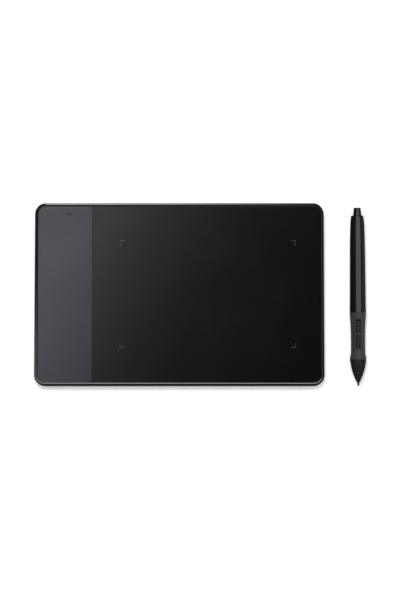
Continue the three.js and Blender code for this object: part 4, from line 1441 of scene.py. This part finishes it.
@dataclass
class PenInsides:
    """What shows when the barrel is drawn off: tube, ring, chassis, board, and the nib's spring."""

    axis: PenAxis
    bore: float = 2.75
    spring_turns: float = 4.5
    spring_wire: float = 0.16
    chassis_bore: float = 1.86
    lip_height: float = 0.35  # of the channel's lips, as a share of their half width
    ring_groove: float = 0.39  # the depth of the ring's groove in the tube
    board_corner: float = 0.6
    trimmer_corner: float = 0.35
    rotor_stand: float = 0.25  # the rotor's height above the trimmer's body
    joint_radius: float = 0.34  # of the solder joints
    joint_rise: float = 0.2
    joint_inset: float = 0.8  # from the board's edge
    joints_in_row: int = 6
    rotor_radius: float = 1.0
    rotor_slot: tuple[float, float] = (0.32, 1.5)

    def tube(self) -> Piece:
        """The inner tube, with chamfered ends and the groove for the ring."""
        start, end = self.axis.span("inner_tube")
        outer, bore = self.axis.radius("inner_tube"), self.bore
        ring_start, ring_end = self.axis.span("friction_ring")
        middle, half = (ring_start + ring_end) / 2, ring_end - ring_start + 0.1
        floor = outer - self.ring_groove
        profile = run(
            (bore, start + 0.1), (bore + 0.1, start), (outer - 0.15, start), (outer, start + 0.15),
            (outer, middle - half), (floor, middle - half), (floor, middle + half),
            (outer, middle + half), (outer, end - 0.25), (outer - 0.25, end),
            (bore + 0.1, end), (bore, end - 0.1))
        return Piece("pen_inner_tube", self.axis.place(turned(profile, 128, closed=True)), "pen",
                     "cone_plastic", Finishes.tube_plastic, ("inner_tube",),
                     cuts=PenCasing(self.axis).windows())

    def ring(self) -> Piece:
        """The rubber ring: a circle of section turned about the axis."""
        start, end = self.axis.span("friction_ring")
        section = (end - start) / 2
        profile = arc(section, 0, 360, 20)[:-1] + (self.axis.radius("friction_ring") - section,
                                                    (start + end) / 2)
        return Piece("pen_friction_ring", self.axis.place(turned(profile, 128, closed=True)), "pen",
                     "ring_rubber", Finishes.ring_rubber, ("friction_ring",))

    def spring(self) -> Piece:
        """The nib's spring: a helix whose end turns lie flat.

        The share of the length that is wound follows a smooth step of the share of the turns.

        Returns:
            The piece.
        """
        start, end = self.axis.span("nib_spring")
        radius = self.axis.radius("nib_spring") - self.spring_wire
        start, end = start + self.spring_wire, end - self.spring_wire
        share = np.linspace(0, 1, 360)
        eased = share * share * (3 - 2 * share)
        turn = share * self.spring_turns * 2 * np.pi
        station = start + (end - start) * eased
        path = np.stack([radius * np.cos(turn), radius * np.sin(turn), station], -1)
        return Piece("pen_nib_spring", self.axis.place(wire(path, self.spring_wire, 12)), "pen",
                     "spring_steel", Finishes.spring_steel, ("nib_spring",), shortens="nib_press")

    def chassis(self) -> Piece:
        """The half-round channel: an outer and an inner arc joined by rounded lips."""
        start, end = self.axis.span("pen_chassis")
        outer = self.bore - 0.1
        lip = (outer - self.chassis_bore) / 2
        middle = self.chassis_bore + lip
        section = run(
            arc(outer, 180, 360, 40),
            (arc(lip, 0, 180, 8) * (1, self.lip_height) + (middle, -0.12))[1:-1],
            arc(self.chassis_bore, 360, 180, 40),
            (arc(lip, 0, 180, 8) * (1, self.lip_height) + (-middle, -0.12))[1:-1])
        section[:, 1] = np.minimum(section[:, 1], -0.001)
        # the section lies across the pen, with its second axis up
        skin = drawn(section[:, ::-1], np.array([start, end]))
        return Piece("pen_chassis_channel", self.axis.place(skin), "pen", "natural_plastic",
                     Finishes.natural_plastic, ("pen_chassis",))

    def board(self) -> Piece:
        """The pen's circuit board, with its corners rounded by the router."""
        low, high = box_of("pen_board")
        width, length = (high - low)[:2]
        skin = Plate.even(width, length, self.board_corner, 6).slab(low[2], high[2], 0.04)
        x, y = (low + high)[:2] / 2
        return Piece("pen_circuit_board", skin.moved(x, y), "pen", "board_laminate",
                     Finishes.pen_laminate, ("pen_board",))

    def solder(self) -> Piece:
        """Small domes of solder along the board's two edges behind the trimmer."""
        low, high = box_of("pen_board")
        trimmer_end = box_of("pen_trimmer")[1][1]
        height = high[2]
        radius, rise, root = self.joint_radius, self.joint_rise, -0.03
        crown = arc(1, 90, 0, 5)[1:] * (radius, rise)
        dome = turned(run((0, rise), *crown, (radius, root), (0, root)), 14)
        places = np.linspace(trimmer_end + 1.4, high[1] - 1.2, self.joints_in_row)
        sides = (low[0] + self.joint_inset, high[0] - self.joint_inset)
        domes = [dome.moved(x, y, height) for x in sides for y in places]
        return Piece("pen_solder_joints", domes[0].with_skins(*domes[1:]), "pen", "steel",
                     Finishes.solder)

    def trimmer(self) -> Piece:
        """The trimmer's soft-edged body."""
        low, high = box_of("pen_trimmer")
        size, middle = high - low, (low + high) / 2
        body = Plate.even(size[0], size[1], self.trimmer_corner, 6)
        body = body.slab(low[2], high[2] - self.rotor_stand, 0.1)
        return Piece("pen_trimmer_body", body.moved(*middle[:2]), "pen", "natural_plastic",
                     Finishes.ceramic, ("pen_trimmer",))

    def rotor(self) -> Piece:
        """The trimmer's round rotor, with a slot for the adjusting tool."""
        low, high = box_of("pen_trimmer")
        x, y = (low + high)[:2] / 2
        top = high[2]
        radius, foot, chamfer = self.rotor_radius, top - 0.35, 0.08
        profile = run((0, foot), (radius, foot), (radius, top - chamfer), (radius - chamfer, top),
                      (0, top))
        slot = Plate.even(*self.rotor_slot, 0.1, 4).slab(top - 0.14, top + 0.5, 0.02)
        return Piece("pen_trimmer_rotor", turned(profile, 40).moved(x, y), "pen", "steel",
                     Finishes.contact_gold, cuts=[slot.moved(x, y)])

    def build(self) -> None:
        """Builds the pieces in order."""
        for make in (self.tube, self.ring, self.spring, self.chassis, self.board, self.solder,
                     self.trimmer, self.rotor):
            make().build()


# ---------------------------------------------------------------- carried-over nodes


CARRIED = {
    Finishes.shield_steel: ("shield_plate", "clock_crystal"),
    Finishes.shell_steel: ("case_screw_front_left", "case_screw_front_right", "case_screw_rear_left",
                           "case_screw_rear_right", "pressure_sensor"),
    Finishes.board_laminate: ("sensor_board",),
    Finishes.insulator_film: ("insulator_sheet",),
    Finishes.chip_resin: ("controller_chip", "grid_switch_chip_rear", "grid_switch_chip_front",
                          "pen_chip", "front_switch", "rear_switch"),
    Finishes.light_body: ("status_led",),
    Finishes.natural_plastic: ("nib_holder", "front_plunger", "rear_plunger"),
    Finishes.coil_copper: ("antenna_coil",),
    Finishes.lead_copper: ("coil_lead_left", "coil_lead_right"),
    Finishes.ferrite: ("ferrite_core",),
}


def dress_carried_nodes() -> None:
    """Gives each CAD node that stays its finish."""
    for finish, names in CARRIED.items():
        for name in names:
            mesh = frame["nodes"][name].data
            mesh.materials.clear()
            mesh.materials.append(finish.material())
            log.info("%s keeps its CAD shape, in %s", name, finish.name)


# ---------------------------------------------------------------- studio


class Reach(Enum):
    """Which pieces a softbox lights."""

    EVERYTHING = "everything"
    FLOOR = "floor"
    FILMS = "films"
    CASE = "case"
    PEN = "pen"

    def takes(self, piece: bpy.types.Object) -> bool:
        """Whether a piece is among those that are lit."""
        return {
            Reach.EVERYTHING: True,
            Reach.FLOOR: piece.name == "floor",
            Reach.FILMS: piece.name in FILM_PIECES,
            Reach.CASE: piece.name in ("tablet_upper_shell", "tablet_lower_shell"),
            Reach.PEN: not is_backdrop(piece) and body_of(piece) != ["tablet"],
        }[self]


FILM_PIECES = ("tablet_drawing_film", "tablet_side_film", "tablet_corner_marks", "tablet_light_lens")


@dataclass(frozen=True)
class Softbox:
    """A rectangular light that shines from its place towards a point, and fades towards its edges."""

    name: str
    place: tuple[float, float, float]
    size: tuple[float, float]
    radiance: float
    aim: tuple[float, float, float] = (0.0, 0.0, 0.0)
    reach: Reach = Reach.EVERYTHING
    fade: float = 0.1  # the share of each side over which the edge fades
    lean: float = 0.0  # how much stronger its local X end is than the middle
    turn: float = 0.0  # degrees round its own line of aim
    seen_in_gloss: bool = True

    def build(self) -> None:
        """Makes the light, and links it to the pieces that it is for."""
        data = bpy.data.lights.new(self.name, "AREA")
        data.shape = "RECTANGLE"
        data.size, data.size_y = (side * MM for side in self.size)
        data.energy = self.radiance * math.pi * data.size * data.size_y
        self._shape_glow(data)
        light = bpy.data.objects.new(self.name, data)
        bpy.context.scene.collection.objects.link(light)
        place, aim = Vector(self.place) * MM, Vector(self.aim) * MM
        light.location = place
        turn = Quaternion((0, 0, 1), math.radians(self.turn))
        light.rotation_euler = ((aim - place).to_track_quat("-Z", "Y") @ turn).to_euler()
        light.visible_camera = False
        light.visible_glossy = self.seen_in_gloss
        if self.reach is not Reach.EVERYTHING:
            lit = bpy.data.collections.new(f"{self.name}_pieces")
            light.light_linking.receiver_collection = lit
            for piece in bpy.context.scene.collection.all_objects:
                if piece.type == "MESH" and self.reach.takes(piece):
                    lit.objects.link(piece)

    def _shape_glow(self, data: bpy.types.AreaLight) -> None:
        """Lets the glow rise smoothly from each edge, and lean evenly towards one end.

        Across and along run from 0 to 1 over the box. The strength is the product of a smooth step
        from each of the four edges, times 1 plus the lean times the way from the middle to the end.

        Args:
            data: the light.
        """
        data.use_nodes = True
        graph = Graph(data.node_tree)
        spot = graph.node("ShaderNodeNewGeometry", output=5)
        across, along = graph.part(spot, Axis.X), graph.part(spot, Axis.Y)
        glow = 1 + (across * 2 - 1) * self.lean
        for share in (across, 1 - across, along, 1 - along):
            glow = glow * graph.between(share, 0, self.fade)
        shine = graph.node("ShaderNodeEmission", inputs={"Strength": glow})
        graph.node("ShaderNodeOutputLight", inputs={"Surface": shine})


@dataclass(frozen=True)
class Studio:
    """A pale floor, soft lights and the camera."""

    distance: float = 1260.0
    elevation: float = 85.25  # degrees above the floor, from the user's side
    view_height: float = 364.0  # how much of the floor the picture's long side takes in
    target: tuple[float, float, float] = (0.0, -3.75, 5.0)
    sensor: float = 36.0
    floor_side: float = 6000.0
    floor_gap: float = 0.02
    near: tuple[float, float] = (100.5, 55.5)  # half sides of the ground that the pair takes up
    painted_shade_margin: float = 60.0
    far: tuple[float, float] = (800.0, 1500.0)

    softboxes: tuple[Softbox, ...] = (
        Softbox("rear_key", (-130, 430, 1100), (380, 380), 21.0, seen_in_gloss=False),
        Softbox("floor_fill", (0, 0, 1500), (2600, 2600), 2.2, reach=Reach.FLOOR, fade=0.02),
        Softbox("pen_overhead", (264, 325, 700), (1220, 1150), 1.65, (264, 325, 0), Reach.PEN, 0.13),
        Softbox("pen_rear", (150, 640, 700), (520, 520), 1.2, (150, 640, 0), Reach.PEN, 0.3),
        Softbox("pen_side", (1000, 0, 330), (900, 560), 0.2, (95, 0, 0), Reach.PEN),
        Softbox("film_strip", (11, 516, 900), (60, 1452), 8.7, (11, 516, 0), Reach.FILMS, turn=-24.7),
        *(Softbox(f"horizon_{side}", (x, y, 400), (2000, 760), 0.25, (0, 0, 400), Reach.FILMS)
          for side, x, y in (("front", 0, -1100), ("rear", 0, 1100),
                             ("left", -1100, 0), ("right", 1100, 0))),
        Softbox("case_front", (0, -358, 934), (1500, 470), 7.8, reach=Reach.CASE),
        Softbox("case_left", (-762, -200, 731), (650, 280), 8.2, reach=Reach.CASE, fade=0.2),
        Softbox("case_right", (640, 60, 800), (900, 260), 1.85, reach=Reach.CASE, fade=0.2),
        Softbox("case_rear", (-28, 900, 185), (315, 310), 16.0, (-28, 0, 0), Reach.CASE, 0.05, 1.0),
    )

    def build(self) -> None:
        """Builds the floor, the world, the lights and the camera."""
        self._floor()
        self._world()
        for softbox in self.softboxes:
            softbox.build()
        self._camera()
        bpy.context.scene.view_settings.view_transform = "Standard"

    def _floor(self) -> None:
        """A wide flat floor of matte board, dimmer to what it is mirrored in than to the camera.

        Beside the pair, where it is mirrored, a painted shade makes it almost black, lighter further
        off. Far out it glows as brightly as the backdrop, so that its edge doesn't show.
        """
        half = self.floor_side * MM / 2
        corners = [(-half, -half), (half, -half), (half, half), (-half, half)]
        mesh = bpy.data.meshes.new("floor")
        mesh.from_pydata([(x, y, -self.floor_gap * MM) for x, y in corners], [], [(0, 1, 2, 3)])
        floor = bpy.data.objects.new("floor", mesh)
        bpy.context.scene.collection.objects.link(floor)
        board = Coating("white_floor_board")
        seen = board.node("ShaderNodeLightPath")
        point = board.place()
        across, along = board.part(point, Axis.X), board.part(point, Axis.Y)
        across, along = (board.math("MAXIMUM", side, side * -1) for side in (across, along))
        beside = board.math("MAXIMUM", across - self.near[0], along - self.near[1])
        # painted shade: what the floor is mirrored in is almost black beside the pair, lightening over
        # the margin
        mirrored = board.mixed(board.between(beside, 0, self.painted_shade_margin), tone(0.02), tone(0.4))
        far = board.between((across * across + along * along) ** 0.5, *self.far)
        board.shade(
            base_color=board.mixed(far, board.mixed(seen, mirrored, tone(0.86)), tone(0.0)),
            emission_color=board.mixed(far, tone(0.0), tone(0.97)),
            emission_Strength=1.0,
            roughness=0.95,
        )
        mesh.materials.append(board.material)
        floor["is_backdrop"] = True

    @staticmethod
    def _world() -> None:
        """A pale backdrop that the camera sees, and a dim even light that the object gets."""
        world = bpy.data.worlds.new("studio")
        bpy.context.scene.world = world
        world.use_nodes = True
        graph = Graph(world.node_tree)
        seen = graph.node("ShaderNodeLightPath")
        backdrop = graph.node("ShaderNodeBackground", inputs={
            "Color": graph.mixed(seen, tone(0.05), tone(0.97))})
        graph.node("ShaderNodeOutputWorld", inputs={"Surface": backdrop})

    def _camera(self) -> None:
        """The camera, almost straight above the pair and a little towards the user."""
        data = bpy.data.cameras.new("camera")
        data.sensor_width = self.sensor
        data.lens = self.sensor * self.distance / self.view_height
        data.clip_start, data.clip_end = 0.05, 20.0
        camera = bpy.data.objects.new("camera", data)
        bpy.context.scene.collection.objects.link(camera)
        bpy.context.scene.camera = camera
        rise = math.radians(self.elevation)
        back = Vector((0, -math.cos(rise), math.sin(rise)))
        camera.location = (Vector(self.target) + back * self.distance) * MM
        camera.rotation_euler = (-back).to_track_quat("-Z", "Y").to_euler()


def main() -> None:
    """Builds the pair piece by piece, then the studio round it."""
    logging.basicConfig(level=logging.INFO, format="%(message)s")
    axis = PenAxis()
    for assembly in (TabletCasing(), TabletFace(), CableSocket(), PenCasing(axis), PenInsides(axis)):
        assembly.build()
        log.info("%s is built", type(assembly).__name__)
    dress_carried_nodes()
    Studio().build()


if __name__ == "__main__":
    main()
